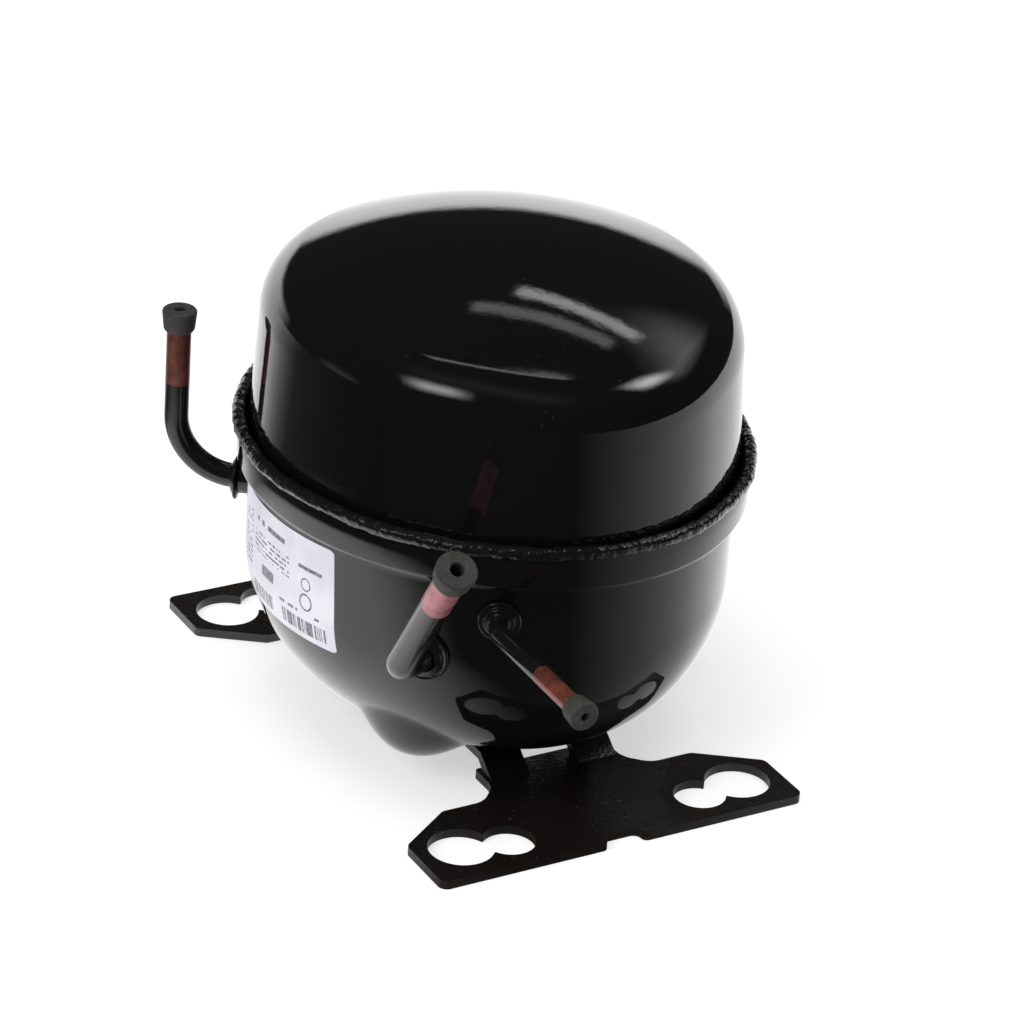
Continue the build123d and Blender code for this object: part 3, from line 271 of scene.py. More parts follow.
# %% [markdown]
# ## Rubber and label film
# The shipping plugs are dull moulded rubber with a dusty bloom. The rating label is satin film.
# Its print is a generic stand-in: rows of dashes, a few blocks and bars. The pattern is drawn in
# the label's own UV map, so it stays on the film wherever the film goes.

# %% Rubber and film
def rubber():
    material, tree, shader, place = start_material("plug_rubber", IOR=1.48)
    grain = use(tree, GRAIN, {"Vector": place, "Scale": 1500.0, "Depth": 0.35, "Gloss": 0.62,
                              "Light": (0.050, 0.049, 0.044, 1), "Dark": (0.018, 0.0175, 0.016, 1)})
    bloom = remap(tree, noise(tree, place, 420.0, 6.0, 0.75), 0.56, 0.72)
    dusty = blend_colours(tree, times(tree, bloom, 0.35), grain["Color"], (0.16, 0.155, 0.14, 1))
    wire(tree, shader, {"Base Color": dusty, "Roughness": grain["Roughness"], "Normal": grain["Normal"]})
    return material


def between(tree, value, low, high):
    """1 where the value lies between two limits."""
    above = math_node(tree, "GREATER_THAN", value, low)
    return times(tree, above, math_node(tree, "LESS_THAN", value, high))


def printed_rows(tree, u, v, left, right, low, high, rows, marks, fill):
    """Rows of short dashes inside a rectangle of the label."""
    row = math_node(tree, "FLOOR", times(tree, v, rows))
    inside_row = between(tree, math_node(tree, "FRACT", times(tree, v, rows)), 0.28, 0.72)
    cell = put(tree, "ShaderNodeCombineXYZ", None,
               {0: math_node(tree, "FLOOR", times(tree, u, marks)), 1: row})
    chance = put(tree, "ShaderNodeTexWhiteNoise", {"noise_dimensions": "2D"}, {"Vector": cell.outputs[0]})
    dash = math_node(tree, "LESS_THAN", chance.outputs[0], fill)
    area = times(tree, between(tree, u, left, right), between(tree, v, low, high))
    return times(tree, area, times(tree, inside_row, dash))


def film():
    coat = {"Coat_Weight": 0.25, "Coat_Roughness": 0.12}
    material, tree, shader, place = start_material("label_film", IOR=1.46, **coat)
    split = put(tree, "ShaderNodeSeparateXYZ", None, {0: tree.nodes["Texture Coordinate"].outputs["UV"]})
    u, v = split.outputs[0], split.outputs[1]
    prints = [
        printed_rows(tree, u, v, 0.28, 0.62, 0.76, 0.86, 9.0, 26.0, 0.8),
        printed_rows(tree, u, v, 0.25, 0.66, 0.52, 0.74, 22.0, 70.0, 0.62),
        printed_rows(tree, u, v, 0.74, 0.92, 0.66, 0.74, 12.0, 34.0, 0.8),
        printed_rows(tree, u, v, 0.06, 0.20, 0.28, 0.84, 20.0, 60.0, 0.55),
        printed_rows(tree, u, v, 0.56, 0.90, 0.24, 0.30, 17.0, 60.0, 0.6),
    ]
    for left, right in ((0.22, 0.50), (0.58, 0.94)):
        bars = put(tree, "ShaderNodeTexWhiteNoise", {"noise_dimensions": "1D"},
                   {"W": math_node(tree, "FLOOR", times(tree, u, 150.0))}).outputs[0]
        area = times(tree, between(tree, u, left, right), between(tree, v, 0.06, 0.20))
        prints.append(times(tree, area, math_node(tree, "LESS_THAN", bars, 0.55)))
    for centre_u, centre_v, outer in ((0.80, 0.38, 0.052), (0.80, 0.55, 0.040)):
        across = times(tree, math_node(tree, "SUBTRACT", u, centre_u), 1.72)
        rise = math_node(tree, "SUBTRACT", v, centre_v)
        square = math_node(tree, "ADD", times(tree, across, across), times(tree, rise, rise))
        radius = math_node(tree, "SQRT", square)
        prints.append(between(tree, radius, outer * 1.25, outer * 1.6))
    prints.append(times(tree, between(tree, u, 0.36, 0.50), between(tree, v, 0.34, 0.44)))
    ink = prints[0]
    for mark in prints[1:]:
        ink = math_node(tree, "MAXIMUM", ink, mark)
    paper = blend_colours(tree, remap(tree, noise(tree, place, 70.0, 5.0), 0.4, 0.6),
                          (0.60, 0.585, 0.66, 1), (0.68, 0.665, 0.73, 1))
    grime = remap(tree, noise(tree, place, 160.0, 6.0, 0.7), 0.6, 0.8)
    soiled = blend_colours(tree, times(tree, grime, 0.25), paper, (0.30, 0.28, 0.28, 1))
    faded = times(tree, ink, remap(tree, noise(tree, place, 900.0), 0.3, 0.6, 0.6, 0.95))
    printed = blend_colours(tree, faded, soiled, (0.045, 0.04, 0.07, 1))
    grain = use(tree, GRAIN, {"Vector": place, "Scale": 260.0, "Depth": 0.05, "Gloss": 0.34})
    wire(tree, shader, {"Base Color": printed, "Roughness": grain["Roughness"], "Normal": grain["Normal"]})
    return material


PLUG_RUBBER = rubber()
LABEL_FILM = film()

# %% [markdown]
# ## Bare metals and the rest of the works
# Inside the welded shell are the motor and the pump. They are the CAD model's own solids, and each
# gets the finish of its material: sand-cast iron, stacked sheet, enamelled wire, sintered steel.
# One recipe with a table of numbers covers them.

# %% Works finishes
WORKS = {
    # slot: light colour, dark colour, metallic, roughness, grain scale, grain depth
    "terminal_steel": ((0.50, 0.48, 0.45), (0.30, 0.28, 0.26), 0.9, 0.32, 900, 0.15),
    "sealing_glass": ((0.10, 0.20, 0.22), (0.05, 0.11, 0.13), 0.0, 0.12, 500, 0.05),
    "plated_steel": ((0.66, 0.64, 0.58), (0.46, 0.44, 0.38), 1.0, 0.28, 800, 0.10),
    "moulded_plastic": ((0.66, 0.63, 0.55), (0.52, 0.49, 0.42), 0.0, 0.45, 1200, 0.12),
    "lead_insulation": ((0.70, 0.66, 0.58), (0.42, 0.38, 0.32), 0.0, 0.80, 2200, 0.60),
    "lamination_steel": ((0.30, 0.30, 0.32), (0.17, 0.17, 0.19), 0.85, 0.45, 2500, 0.40),
    "winding_copper": ((0.55, 0.20, 0.07), (0.26, 0.08, 0.03), 0.6, 0.35, 1600, 0.60),
    "rotor_aluminium": ((0.66, 0.66, 0.67), (0.47, 0.47, 0.49), 0.95, 0.42, 700, 0.25),
    "cast_iron": ((0.22, 0.21, 0.20), (0.11, 0.105, 0.10), 0.75, 0.62, 650, 0.70),
    "spring_steel": ((0.42, 0.43, 0.45), (0.24, 0.25, 0.28), 0.95, 0.25, 1500, 0.08),
    "sintered_steel": ((0.34, 0.33, 0.31), (0.20, 0.19, 0.18), 0.85, 0.50, 3000, 0.35),
    "pressed_steel": ((0.40, 0.39, 0.37), (0.25, 0.24, 0.23), 0.9, 0.38, 600, 0.15),
    "gasket_fibre": ((0.24, 0.27, 0.22), (0.13, 0.15, 0.12), 0.0, 0.85, 1800, 0.45),
}


def works_finish(name, light, dark, metal, gloss, scale, depth):
    material, tree, shader, place = start_material(name, Metallic=metal, IOR=1.5)
    grain = use(tree, GRAIN, {"Vector": place, "Scale": float(scale), "Depth": depth, "Gloss": gloss,
                              "Light": (*light, 1), "Dark": (*dark, 1)})
    wire(tree, shader, {
        "Base Color": grain["Color"], "Normal": grain["Normal"], "Roughness": grain["Roughness"]})
    return material


FINISHES = {slot: works_finish(slot + "_finish", *numbers) for slot, numbers in WORKS.items()}
FINISHES.update({
    "shell_paint": SHELL_PAINT, "weld_paint": WELD_PAINT, "plate_paint": PLATE_PAINT,
    "collar_paint": COLLAR_PAINT, "plug_rubber": PLUG_RUBBER, "label_paper": LABEL_FILM,
    "tube_copper": COPPER_FINISHES["discharge"], "bare_tube_copper": COPPER_FINISHES["discharge"],
})
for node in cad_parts.values():
    for place_in_list, material in enumerate(node.data.materials):
        slot_name = material.name.split(".")[0]
        node.data.materials[place_in_list] = FINISHES[slot_name]
print(len(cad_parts), "CAD nodes have a finish")

# %% [markdown]
# ## The oval plan
# Seen from above, the shell is a four-centre oval: two end arcs joined by two flatter side arcs.
# All ovals of the family share their arc centres, so a point is its arc's centre plus a radius
# along the outward normal. Rings taken at the same normal directions line up, wall after wall.

# %% Oval rings
END_CENTRE = 19.0
OVAL_NARROWER = 8.0
SIDE_CENTRE = (END_CENTRE**2 - (END_CENTRE - OVAL_NARROWER) ** 2) / (2 * (END_CENTRE - OVAL_NARROWER))
SIDE_RADIUS_EXTRA = SIDE_CENTRE - OVAL_NARROWER
MEET = math.atan2(END_CENTRE, SIDE_CENTRE)
RING_POINTS = 360
DIRECTIONS = np.linspace(0, 2 * math.pi, RING_POINTS, endpoint=False)


def oval_points(half_length, directions):
    """Points of the oval whose outward normals have the given directions, in millimetres."""
    turn = (directions + math.pi) % (2 * math.pi) - math.pi
    on_right = np.abs(turn) < MEET
    on_left = np.abs(turn) > math.pi - MEET
    on_side = on_right | on_left
    centre_x = np.where(on_right, -SIDE_CENTRE, np.where(on_left, SIDE_CENTRE, 0.0))
    centre_y = np.where(on_side, 0.0, np.sign(turn) * END_CENTRE)
    radius = np.where(on_side, half_length + SIDE_RADIUS_EXTRA, half_length - END_CENTRE)
    return np.stack([centre_x + radius * np.cos(turn), centre_y + radius * np.sin(turn)], axis=1)


def oval_ring(half_length, height):
    flat = oval_points(half_length, DIRECTIONS)
    heights = np.broadcast_to(np.asarray(height, float), (RING_POINTS,))
    return np.column_stack([flat, heights])


def ring_faces(ring_count, points_per_ring):
    """Quads between one ring and the next, all the way round."""
    faces = []
    for ring in range(ring_count - 1):
        base, above = ring * points_per_ring, (ring + 1) * points_per_ring
        for index in range(points_per_ring):
            after = (index + 1) % points_per_ring
            faces.append((base + index, base + after, above + after, above + index))
    return faces


def piece_from(name, points, faces, material, smooth_angle=35.0):
    """A mesh object from points in millimetres. Its faces are turned outwards."""
    mesh = bpy.data.meshes.new(name)
    mesh.from_pydata([tuple(point) for point in np.asarray(points) * MM], [], faces)
    work = bmesh.new()
    work.from_mesh(mesh)
    bmesh.ops.remove_doubles(work, verts=work.verts, dist=1e-7)
    bmesh.ops.recalc_face_normals(work, faces=work.faces)
    work.to_mesh(mesh)
    work.free()
    mesh.shade_smooth()
    mesh.set_sharp_from_angle(angle=math.radians(smooth_angle))
    mesh.materials.append(material)
    piece = bpy.data.objects.new(name, mesh)
    bpy.context.scene.collection.objects.link(piece)
    return piece


def closed_skin(name, rings, material):
    """A closed body from rings that run from an outer pole to an inner pole."""
    points = np.concatenate(rings)
    faces = ring_faces(len(rings), RING_POINTS)
    first_pole, last_pole = len(points), len(points) + 1
    last_start = (len(rings) - 1) * RING_POINTS
    for index in range(RING_POINTS):
        after = (index + 1) % RING_POINTS
        faces.append((first_pole, after, index))
        faces.append((last_pole, last_start + index, last_start + after))
    poles = np.array([rings[0].mean(0), rings[-1].mean(0)])
    return piece_from(name, np.concatenate([points, poles]), faces, material)


# %% [markdown]
# ## The lower drawing
# A deep bowl: flat in the middle of its bottom, turned up through a 52 mm radius into an upright
# wall, and widened at its mouth so that the cap drops in. Four round lobes push out of its bottom
# corners, where the suspension springs stand inside. The lobes could be joined with a Boolean, but
# the press leaves a soft valley round each, so here every point near a lobe is moved along the
# bowl's normal towards the ball, with a smooth maximum instead of a hard crease.

# %% The bowl
WALL = 3.0
LOWER_HALF = 85.0
BOWL_BOTTOM = 8.5
BOWL_CORNER = 52.0
LOBE_CENTRE = np.array([38.5, 31.0, 25.0])
LOBE_RADIUS = 17.5
LOBE_VALLEY = 7.5
MOUTH_HALF = 89.2
MOUTH_TOP = 100.0
BOSS_Y, BOSS_Z, BOSS_RADIUS, BOSS_PROUD = 22.0, 58.0, 21.0, 3.8
BOSS_X = math.sqrt((LOWER_HALF + SIDE_RADIUS_EXTRA) ** 2 - BOSS_Y**2) - SIDE_CENTRE + BOSS_PROUD
CUP_RADIUS = 16.0


def smooth_greater(first, second, width):
    """The greater of two values, rounded where they are within a width of each other."""
    near = np.clip(width - np.abs(first - second), 0, None)
    return np.maximum(first, second) + near**2 / (4 * width)


def push_lobes(points, normals, ball_radius):
    """Moves points along their normals out to the four lobes."""
    moved = points.copy()
    for side_x in (-1, 1):
        for side_y in (-1, 1):
            centre = LOBE_CENTRE * (side_x, side_y, 1)
            reach = points - centre
            along = np.einsum("ij,ij->i", reach, normals)
            gap = np.einsum("ij,ij->i", reach, reach) - along**2
            touching = gap < ball_radius**2 * 0.9999
            out = np.sqrt(np.clip(ball_radius**2 - gap, 0, None)) - along
            push = np.where(touching, smooth_greater(out, np.zeros(len(out)), LOBE_VALLEY), 0.0)
            moved += normals * push[:, None]
    return moved


def bowl_rings(offset):
    """Rings of the bowl moved out by an offset, from the middle of its bottom to its mouth step."""
    inner_half = LOWER_HALF - BOWL_CORNER
    corner = BOWL_CORNER + offset
    rings = []
    for share in np.linspace(0.04, 0.96, 14):
        flat = oval_points(inner_half, DIRECTIONS) * share
        ring = np.column_stack([flat, np.full(RING_POINTS, BOWL_BOTTOM - offset)])
        normals = np.tile([0.0, 0.0, -1.0], (RING_POINTS, 1))
        rings.append(push_lobes(ring, normals, LOBE_RADIUS + offset))
    steps = 64 if offset == 0 else 20
    for turn in np.linspace(0, math.pi / 2, steps):
        half = inner_half + corner * math.sin(turn)
        ring = oval_ring(half, BOWL_BOTTOM + BOWL_CORNER - corner * math.cos(turn))
        flat_normals = np.stack([np.cos(DIRECTIONS), np.sin(DIRECTIONS)], axis=1) * math.sin(turn)
        normals = np.column_stack([flat_normals, np.full(RING_POINTS, -math.cos(turn))])
        rings.append(push_lobes(ring, normals, LOBE_RADIUS + offset))
    return rings


def press_boss(ring):
    """Brings the wall out to the flat boss that carries the terminal."""
    away = np.hypot(ring[:, 1] - BOSS_Y, ring[:, 2] - BOSS_Z)
    slope = np.clip((away - BOSS_RADIUS) / 3.0, 0, None)
    flat = np.where((away < BOSS_RADIUS + 9) & (ring[:, 0] > 0), BOSS_X - 3.2 * slope**1.3, -1e3)
    lifted = ring.copy()
    lifted[:, 0] = np.where(away < BOSS_RADIUS - 1.5, np.maximum(ring[:, 0], flat),
                            smooth_greater(ring[:, 0], flat, 0.8))
    on_disc = (away < BOSS_RADIUS - 1.5) & (ring[:, 0] > 0)
    lifted[:, 0] = np.where(on_disc, BOSS_X, np.minimum(lifted[:, 0], np.maximum(ring[:, 0], BOSS_X)))
    return lifted


def mouth_profile():
    """Half lengths and heights up the wall, round the step and over the rim."""
    upright = [(LOWER_HALF, z) for z in np.linspace(61.2, 84.6, 19)]
    turns = np.linspace(0, math.pi / 2, 7)
    hollow = [(LOWER_HALF + 2.1 * (1 - math.cos(a)), 85.9 + 2.1 * math.sin(a)) for a in turns]
    rounding = [(MOUTH_HALF - 2.1 + 2.1 * math.sin(a), 90.1 - 2.1 * math.cos(a)) for a in turns[1:]]
    rim = [(MOUTH_HALF, 95.0), (MOUTH_HALF, 99.2), (MOUTH_HALF - 0.3, 99.8), (MOUTH_HALF - 0.9, MOUTH_TOP)]
    inside = [(MOUTH_HALF - WALL, MOUTH_TOP), (MOUTH_HALF - WALL, 90.3), (LOWER_HALF - WALL, 89.6)]
    return upright + hollow + rounding + rim + inside


outer = bowl_rings(0.0) + [oval_ring(half, z) for half, z in mouth_profile()]
outer = [press_boss(ring) for ring in outer]
bowl_skin = closed_skin("bowl_skin", outer + bowl_rings(-WALL)[::-1], SHELL_PAINT)

# %% [markdown]
# The terminal's cup stands in a round hole through the boss. A Boolean with a short cylinder is
# the plain way to make it, and it is safe here because the boss is flat all round the hole.

# %% The terminal hole
def drilled(piece, centre, axis_length, radius):
    """Cuts a round hole along X through a piece."""
    cutter_mesh = bpy.data.meshes.new("cutter")
    work = bmesh.new()
    bmesh.ops.create_cone(work, cap_ends=True, segments=72, radius1=radius, radius2=radius, depth=axis_length,
                          matrix=Matrix.Translation(centre) @ Matrix.Rotation(math.pi / 2, 4, "Y"))
    work.to_mesh(cutter_mesh)
    work.free()
    cutter = bpy.data.objects.new("cutter", cutter_mesh)
    bpy.context.scene.collection.objects.link(cutter)
    cut = piece.modifiers.new("hole", "BOOLEAN")
    cut.operation, cut.solver, cut.object = "DIFFERENCE", "EXACT", cutter
    finish_modifiers(piece)
    bpy.data.objects.remove(cutter)


def finish_modifiers(piece):
    """Turns a piece and its modifiers into one plain mesh."""
    bpy.context.view_layer.update()
    shape = piece.evaluated_get(bpy.context.evaluated_depsgraph_get())
    mesh = bpy.data.meshes.new_from_object(shape)
    mesh.name = piece.name
    piece.modifiers.clear()
    piece.data = mesh


drilled(bowl_skin, Vector((BOSS_X, BOSS_Y, BOSS_Z)) * MM, 24 * MM, (CUP_RADIUS - 0.1) * MM)
print("bowl:", len(bowl_skin.data.polygons), "faces")

# %% [markdown]
# ## The cap
# The upper drawing is a drafted wall, a generous shoulder and a crown that is a part of a large
# ball. The shoulder is what a small ball leaves when it rolls round the inside, touching both wall
# and crown. So its centre is found first for every direction, and the rings swing round it from
# the wall to the crown. Past the shoulder the rings shrink to the pole.

# %% The cap
CAP_HALF = 86.0
CAP_BOTTOM = 90.5
CAP_TOP = 169.4
CAP_SHOULDER = 20.0
CROWN_RADIUS = 164.0
CAP_DRAFT = math.radians(3.0)
CROWN_CENTRE = CAP_TOP - CROWN_RADIUS


def shoulder_centres():
    """Where a ball of the shoulder's radius rests between wall and crown, and the way to the crown."""
    height = np.full(RING_POINTS, CAP_TOP - 45.0)
    for _ in range(30):
        half = CAP_HALF - (height - CAP_BOTTOM) * math.tan(CAP_DRAFT) - CAP_SHOULDER / math.cos(CAP_DRAFT)
        flat = oval_points(half, DIRECTIONS)
        height = CROWN_CENTRE + np.sqrt((CROWN_RADIUS - CAP_SHOULDER) ** 2 - (flat**2).sum(axis=1))
    centres = np.column_stack([flat, height])
    return centres, (centres - (0, 0, CROWN_CENTRE)) / (CROWN_RADIUS - CAP_SHOULDER)


def cap_rings(offset, wall_steps, shoulder_steps, crown_steps):
    """Rings of the cap moved out by an offset, from its pole to its rim."""
    centres, to_crown = shoulder_centres()
    flat_way = np.stack([np.cos(DIRECTIONS), np.sin(DIRECTIONS)], axis=1) * math.cos(CAP_DRAFT)
    to_wall = np.column_stack([flat_way, np.full(RING_POINTS, math.sin(CAP_DRAFT))])
    swing = np.arccos(np.einsum("ij,ij->i", to_wall, to_crown))[:, None]
    shoulder = []
    for share in np.linspace(0, 1, shoulder_steps):
        way = (to_wall * np.sin((1 - share) * swing) + to_crown * np.sin(share * swing)) / np.sin(swing)
        shoulder.append(centres + way * (CAP_SHOULDER + offset))
    rim = oval_ring(CAP_HALF + offset / math.cos(CAP_DRAFT), CAP_BOTTOM)
    wall = [rim + (shoulder[0] - rim) * share for share in np.linspace(0, 1, wall_steps)[:-1]]
    crown = []
    for share in np.linspace(1, 0.04, crown_steps)[1:]:
        flat = shoulder[-1][:, :2] * share
        height = CROWN_CENTRE + np.sqrt((CROWN_RADIUS + offset) ** 2 - (flat**2).sum(axis=1))
        crown.append(np.column_stack([flat, height]))
    return (wall + shoulder + crown)[::-1]


cap_skin = closed_skin("cap_skin", cap_rings(0.0, 24, 40, 26) + cap_rings(-WALL, 6, 14, 8)[::-1], SHELL_PAINT)
print("cap:", len(cap_skin.data.polygons), "faces")

# %% [markdown]
# ## The weld
# One bead runs round the seam. It follows the oval, so it is a job for Geometry Nodes: a curve is
# given a round section, and noise along it adds the ripple that the torch leaves. Doing it in
# nodes keeps the bead's width, lumps and wander as named inputs that can be changed later.

# %% Helpers for geometry trees
def geometry_tree(name, inputs):
    """An empty geometry node tree with a geometry way in and out and named inputs."""
    tree = bpy.data.node_groups.new(name, "GeometryNodeTree")
    tree.interface.new_socket("Geometry", in_out="INPUT", socket_type="NodeSocketGeometry")
    for label, kind in inputs:
        tree.interface.new_socket(label, in_out="INPUT", socket_type=kind)
    tree.interface.new_socket("Geometry", in_out="OUTPUT", socket_type="NodeSocketGeometry")
    return tree, tree.nodes.new("NodeGroupInput").outputs, tree.nodes.new("NodeGroupOutput").inputs


def run_tree(name, source, tree, values, material):
    """Runs a tree on a curve or mesh, and returns the result as a plain mesh object."""
    holder = bpy.data.objects.new(name + "_source", source)
    bpy.context.scene.collection.objects.link(holder)
    modifier = holder.modifiers.new("shape", "NODES")
    modifier.node_group = tree
    for item in tree.interface.items_tree:
        if item.in_out == "INPUT" and item.name in values:
            modifier[item.identifier] = values[item.name]
    bpy.context.view_layer.update()
    shape = holder.evaluated_get(bpy.context.evaluated_depsgraph_get())
    mesh = bpy.data.meshes.new_from_object(shape)
    mesh.name = name
    bpy.data.objects.remove(holder)
    if not mesh.materials:
        mesh.materials.append(material)
    piece = bpy.data.objects.new(name, mesh)
    bpy.context.scene.collection.objects.link(piece)
    return piece


def line_curve(name, points, closed=False):
    """A curve of straight runs through points given in millimetres."""
    curve = bpy.data.curves.new(name, "CURVE")
    curve.dimensions = "3D"
    spline = curve.splines.new("POLY")
    spline.points.add(len(points) - 1)
    for spot, point in zip(spline.points, points):
        spot.co = (*(Vector(point) * MM), 1.0)
    spline.use_cyclic_u = closed
    return curve


def scaled(tree, vector, factor):
    node = put(tree, "ShaderNodeVectorMath", {"operation": "SCALE"}, {0: vector, "Scale": factor})
    return node.outputs[0]


def moved(tree, geometry, offset):
    return put(tree, "GeometryNodeSetPosition", None, {"Geometry": geometry, "Offset": offset}).outputs[0]


def even_steps(tree, curve, spacing):
    inputs = {"Curve": curve, "Length": spacing}
    return put(tree, "GeometryNodeResampleCurve", {"mode": "LENGTH"}, inputs).outputs[0]


def swept(tree, path, radius, sides):
    """A circle swept along a path."""
    circle = put(tree, "GeometryNodeCurvePrimitiveCircle", None, {"Resolution": sides, "Radius": radius})
    inputs = {"Curve": path, "Profile Curve": circle.outputs[0]}
    return put(tree, "GeometryNodeCurveToMesh", None, inputs).outputs[0]


def finished(tree, geometry, material):
    """The last nodes of every tree: smooth shading, real geometry, and the finish."""
    smooth = put(tree, "GeometryNodeSetShadeSmooth", None, {"Geometry": geometry}).outputs[0]
    solid = put(tree, "GeometryNodeRealizeInstances", None, {"Geometry": smooth}).outputs[0]
    return put(tree, "GeometryNodeSetMaterial", None, {"Geometry": solid, "Material": material}).outputs[0]


# %% The weld bead
def weld_tree():
    tree, given, out = geometry_tree("weld_bead", [
        ("Radius", FLOAT), ("Ripple", FLOAT), ("Wander", FLOAT), ("Spacing", FLOAT),
        ("Material", "NodeSocketMaterial"),
    ])
    path = even_steps(tree, given["Geometry"], given["Spacing"])
    place = tree.nodes.new("GeometryNodeInputPosition").outputs[0]
    slow = put(tree, "ShaderNodeTexNoise", None, {"Vector": place, "Scale": 42.0, "Detail": 2.0})
    centred = vector_math(tree, "SUBTRACT", slow.outputs[1], (0.5, 0.5, 0.5))[0]
    drift = scaled(tree, centred, given["Wander"])
    wandering = moved(tree, path, drift)
    bead = swept(tree, wandering, given["Radius"], 18)
    lumps = noise(tree, place, 260.0, 4.0, 0.6)
    ridges = noise(tree, place, 760.0, 2.0)
    both = math_node(tree, "MULTIPLY_ADD", ridges, 0.45, lumps)
    height = times(tree, math_node(tree, "SUBTRACT", both, 0.8), given["Ripple"])
    normal = tree.nodes.new("GeometryNodeInputNormal").outputs[0]
    rippled = moved(tree, bead, scaled(tree, normal, height))
    tree.links.new(finished(tree, rippled, given["Material"]), out["Geometry"])
    return tree


BEAD_HALF = 88.5
BEAD_HEIGHT = 101.3
WELD_TREE = weld_tree()
seam = [(x, y, BEAD_HEIGHT) for x, y in oval_points(BEAD_HALF, DIRECTIONS)]
bead_values = {
    "Radius": 2.35 * MM, "Ripple": 1.7 * MM, "Wander": 1.3 * MM, "Spacing": 0.5 * MM, "Material": WELD_PAINT,
}
weld_bead = run_tree("weld_bead", line_curve("seam", seam, closed=True), WELD_TREE, bead_values, WELD_PAINT)
print("weld bead:", len(weld_bead.data.polygons), "faces")

# %% [markdown]
# ## Tubes
# Each stub leaves the wall, turns once, and runs straight to its end. A second tree rounds the
# corner with Fillet Curve, notes each point's distance from the open end, and sweeps a circle.
# Solidify then gives the tube its wall, so that its end is open when the plug is pulled.

# %% The tubes
def tube_tree():
    tree, given, out = geometry_tree("stub_tube", [
        ("Tube Radius", FLOAT), ("Bend Radius", FLOAT), ("Spacing", FLOAT),
        ("Material", "NodeSocketMaterial"),
    ])
    rounded = put(tree, "GeometryNodeFilletCurve", {"mode": "POLY"},
                  {"Curve": given["Geometry"], "Count": 24, "Radius": given["Bend Radius"],
                   "Limit Radius": True}).outputs[0]
    path = even_steps(tree, rounded, given["Spacing"])
    run = tree.nodes.new("GeometryNodeSplineParameter").outputs["Length"]
    noted = put(tree, "GeometryNodeStoreNamedAttribute", {"data_type": "FLOAT", "domain": "POINT"},
                {"Geometry": path, "Name": "from_end", "Value": run}).outputs[0]
    skin = swept(tree, noted, given["Tube Radius"], 48)
    tree.links.new(finished(tree, skin, given["Material"]), out["Geometry"])
    return tree


TUBE_TREE = tube_tree()
TUBE_WALL = 0.8
TUBE_INSIDE = 8.0
WALL_TURN = {"suction": -138.3, "discharge": -123.3, "process": 143.1}


def wall_point(degrees, height):
    """Where the bowl's upright wall faces a direction."""
    flat = oval_points(LOWER_HALF, np.array([math.radians(degrees)]))[0]
    return (flat[0], flat[1], height)


def wall_way(degrees):
    return (math.cos(math.radians(degrees)), math.sin(math.radians(degrees)), 0.0)


TUBES = {
    # where it crosses the wall, way out, stub length, way on, run, bend radius, tube radius
    "suction": (wall_point(WALL_TURN["suction"], 59.9), (-0.921, -0.390, 0.0), 13.4,
                (-0.085, -0.595, 0.799), 70.0, 11.0, 4.75),
    "discharge": (wall_point(WALL_TURN["discharge"], 76.0), wall_way(WALL_TURN["discharge"]), 8.0,
                  (-0.022, -1.0, 0.0), 53.0, 9.0, 3.1),
    "process": (wall_point(WALL_TURN["process"], 69.5), wall_way(WALL_TURN["process"]), 25.4,
                (0.0, 0.0, 1.0), 55.5, 20.0, 4.0),
}


def along(point, way, distance):
    return Vector(point) + Vector(way).normalized() * distance


def make_tube(name, at, out_way, stub, way, run, bend, radius):
    """One tube with a hollow end; also returns where it ends."""
    corner = along(at, out_way, stub)
    end = along(corner, way, run)
    path = [end, corner, along(at, out_way, -TUBE_INSIDE)]
    finish = COPPER_FINISHES[name]
    values = {"Tube Radius": radius * MM, "Bend Radius": bend * MM, "Spacing": 0.8 * MM, "Material": finish}
    tube = run_tree(name + "_stub", line_curve(name, path), TUBE_TREE, values, finish)
    work = bmesh.new()
    work.from_mesh(tube.data)
    bmesh.ops.recalc_face_normals(work, faces=work.faces)
    middle = (corner + end) / 2 * MM
    face = min(work.faces, key=lambda item: (item.calc_center_median() - middle).length)
    axis = Vector(way).normalized()
    outward = face.calc_center_median() - middle
    outward -= axis * outward.dot(axis)
    if face.normal.dot(outward) < 0:
        bmesh.ops.reverse_faces(work, faces=work.faces)
    work.to_mesh(tube.data)
    work.free()
    wall = tube.modifiers.new("wall", "SOLIDIFY")
    wall.thickness, wall.offset = TUBE_WALL * MM, -1.0
    finish_modifiers(tube)
    return tube, end


tube_pieces, tube_ends = {}, {}
for name, numbers in TUBES.items():
    tube_pieces[name], tube_ends[name] = make_tube(name, *numbers)
    print(name, "tube ends at", [round(v, 1) for v in tube_ends[name]])

# %% [markdown]
# ## Turned pieces
# Plugs and collars are round about the tube's axis. A lathe is the natural tool: half a section is
# spun round an axis. The section's corners are rounded first, because nothing moulded or brazed
# has a sharp edge, and it is the small rounded edges that catch the light.

# %% Lathe
def rounded_section(corners, radius, steps=4):
    """A closed section whose corners are cut by short curves."""
    spots = []
    count = len(corners)
    for index in range(count):
        trio = [corners[(index + shift) % count] for shift in (-1, 0, 1)]
        before, here, after = (np.array(corner, float) for corner in trio)
        if here[0] == 0:
            spots.append(here)
            continue
        reach = min(radius, np.linalg.norm(before - here) * 0.45, np.linalg.norm(after - here) * 0.45)
        start = here + (before - here) / np.linalg.norm(before - here) * reach
        stop = here + (after - here) / np.linalg.norm(after - here) * reach
        for share in np.linspace(0, 1, steps + 1):
            spots.append((1 - share) ** 2 * start + 2 * share * (1 - share) * here + share**2 * stop)
    return spots


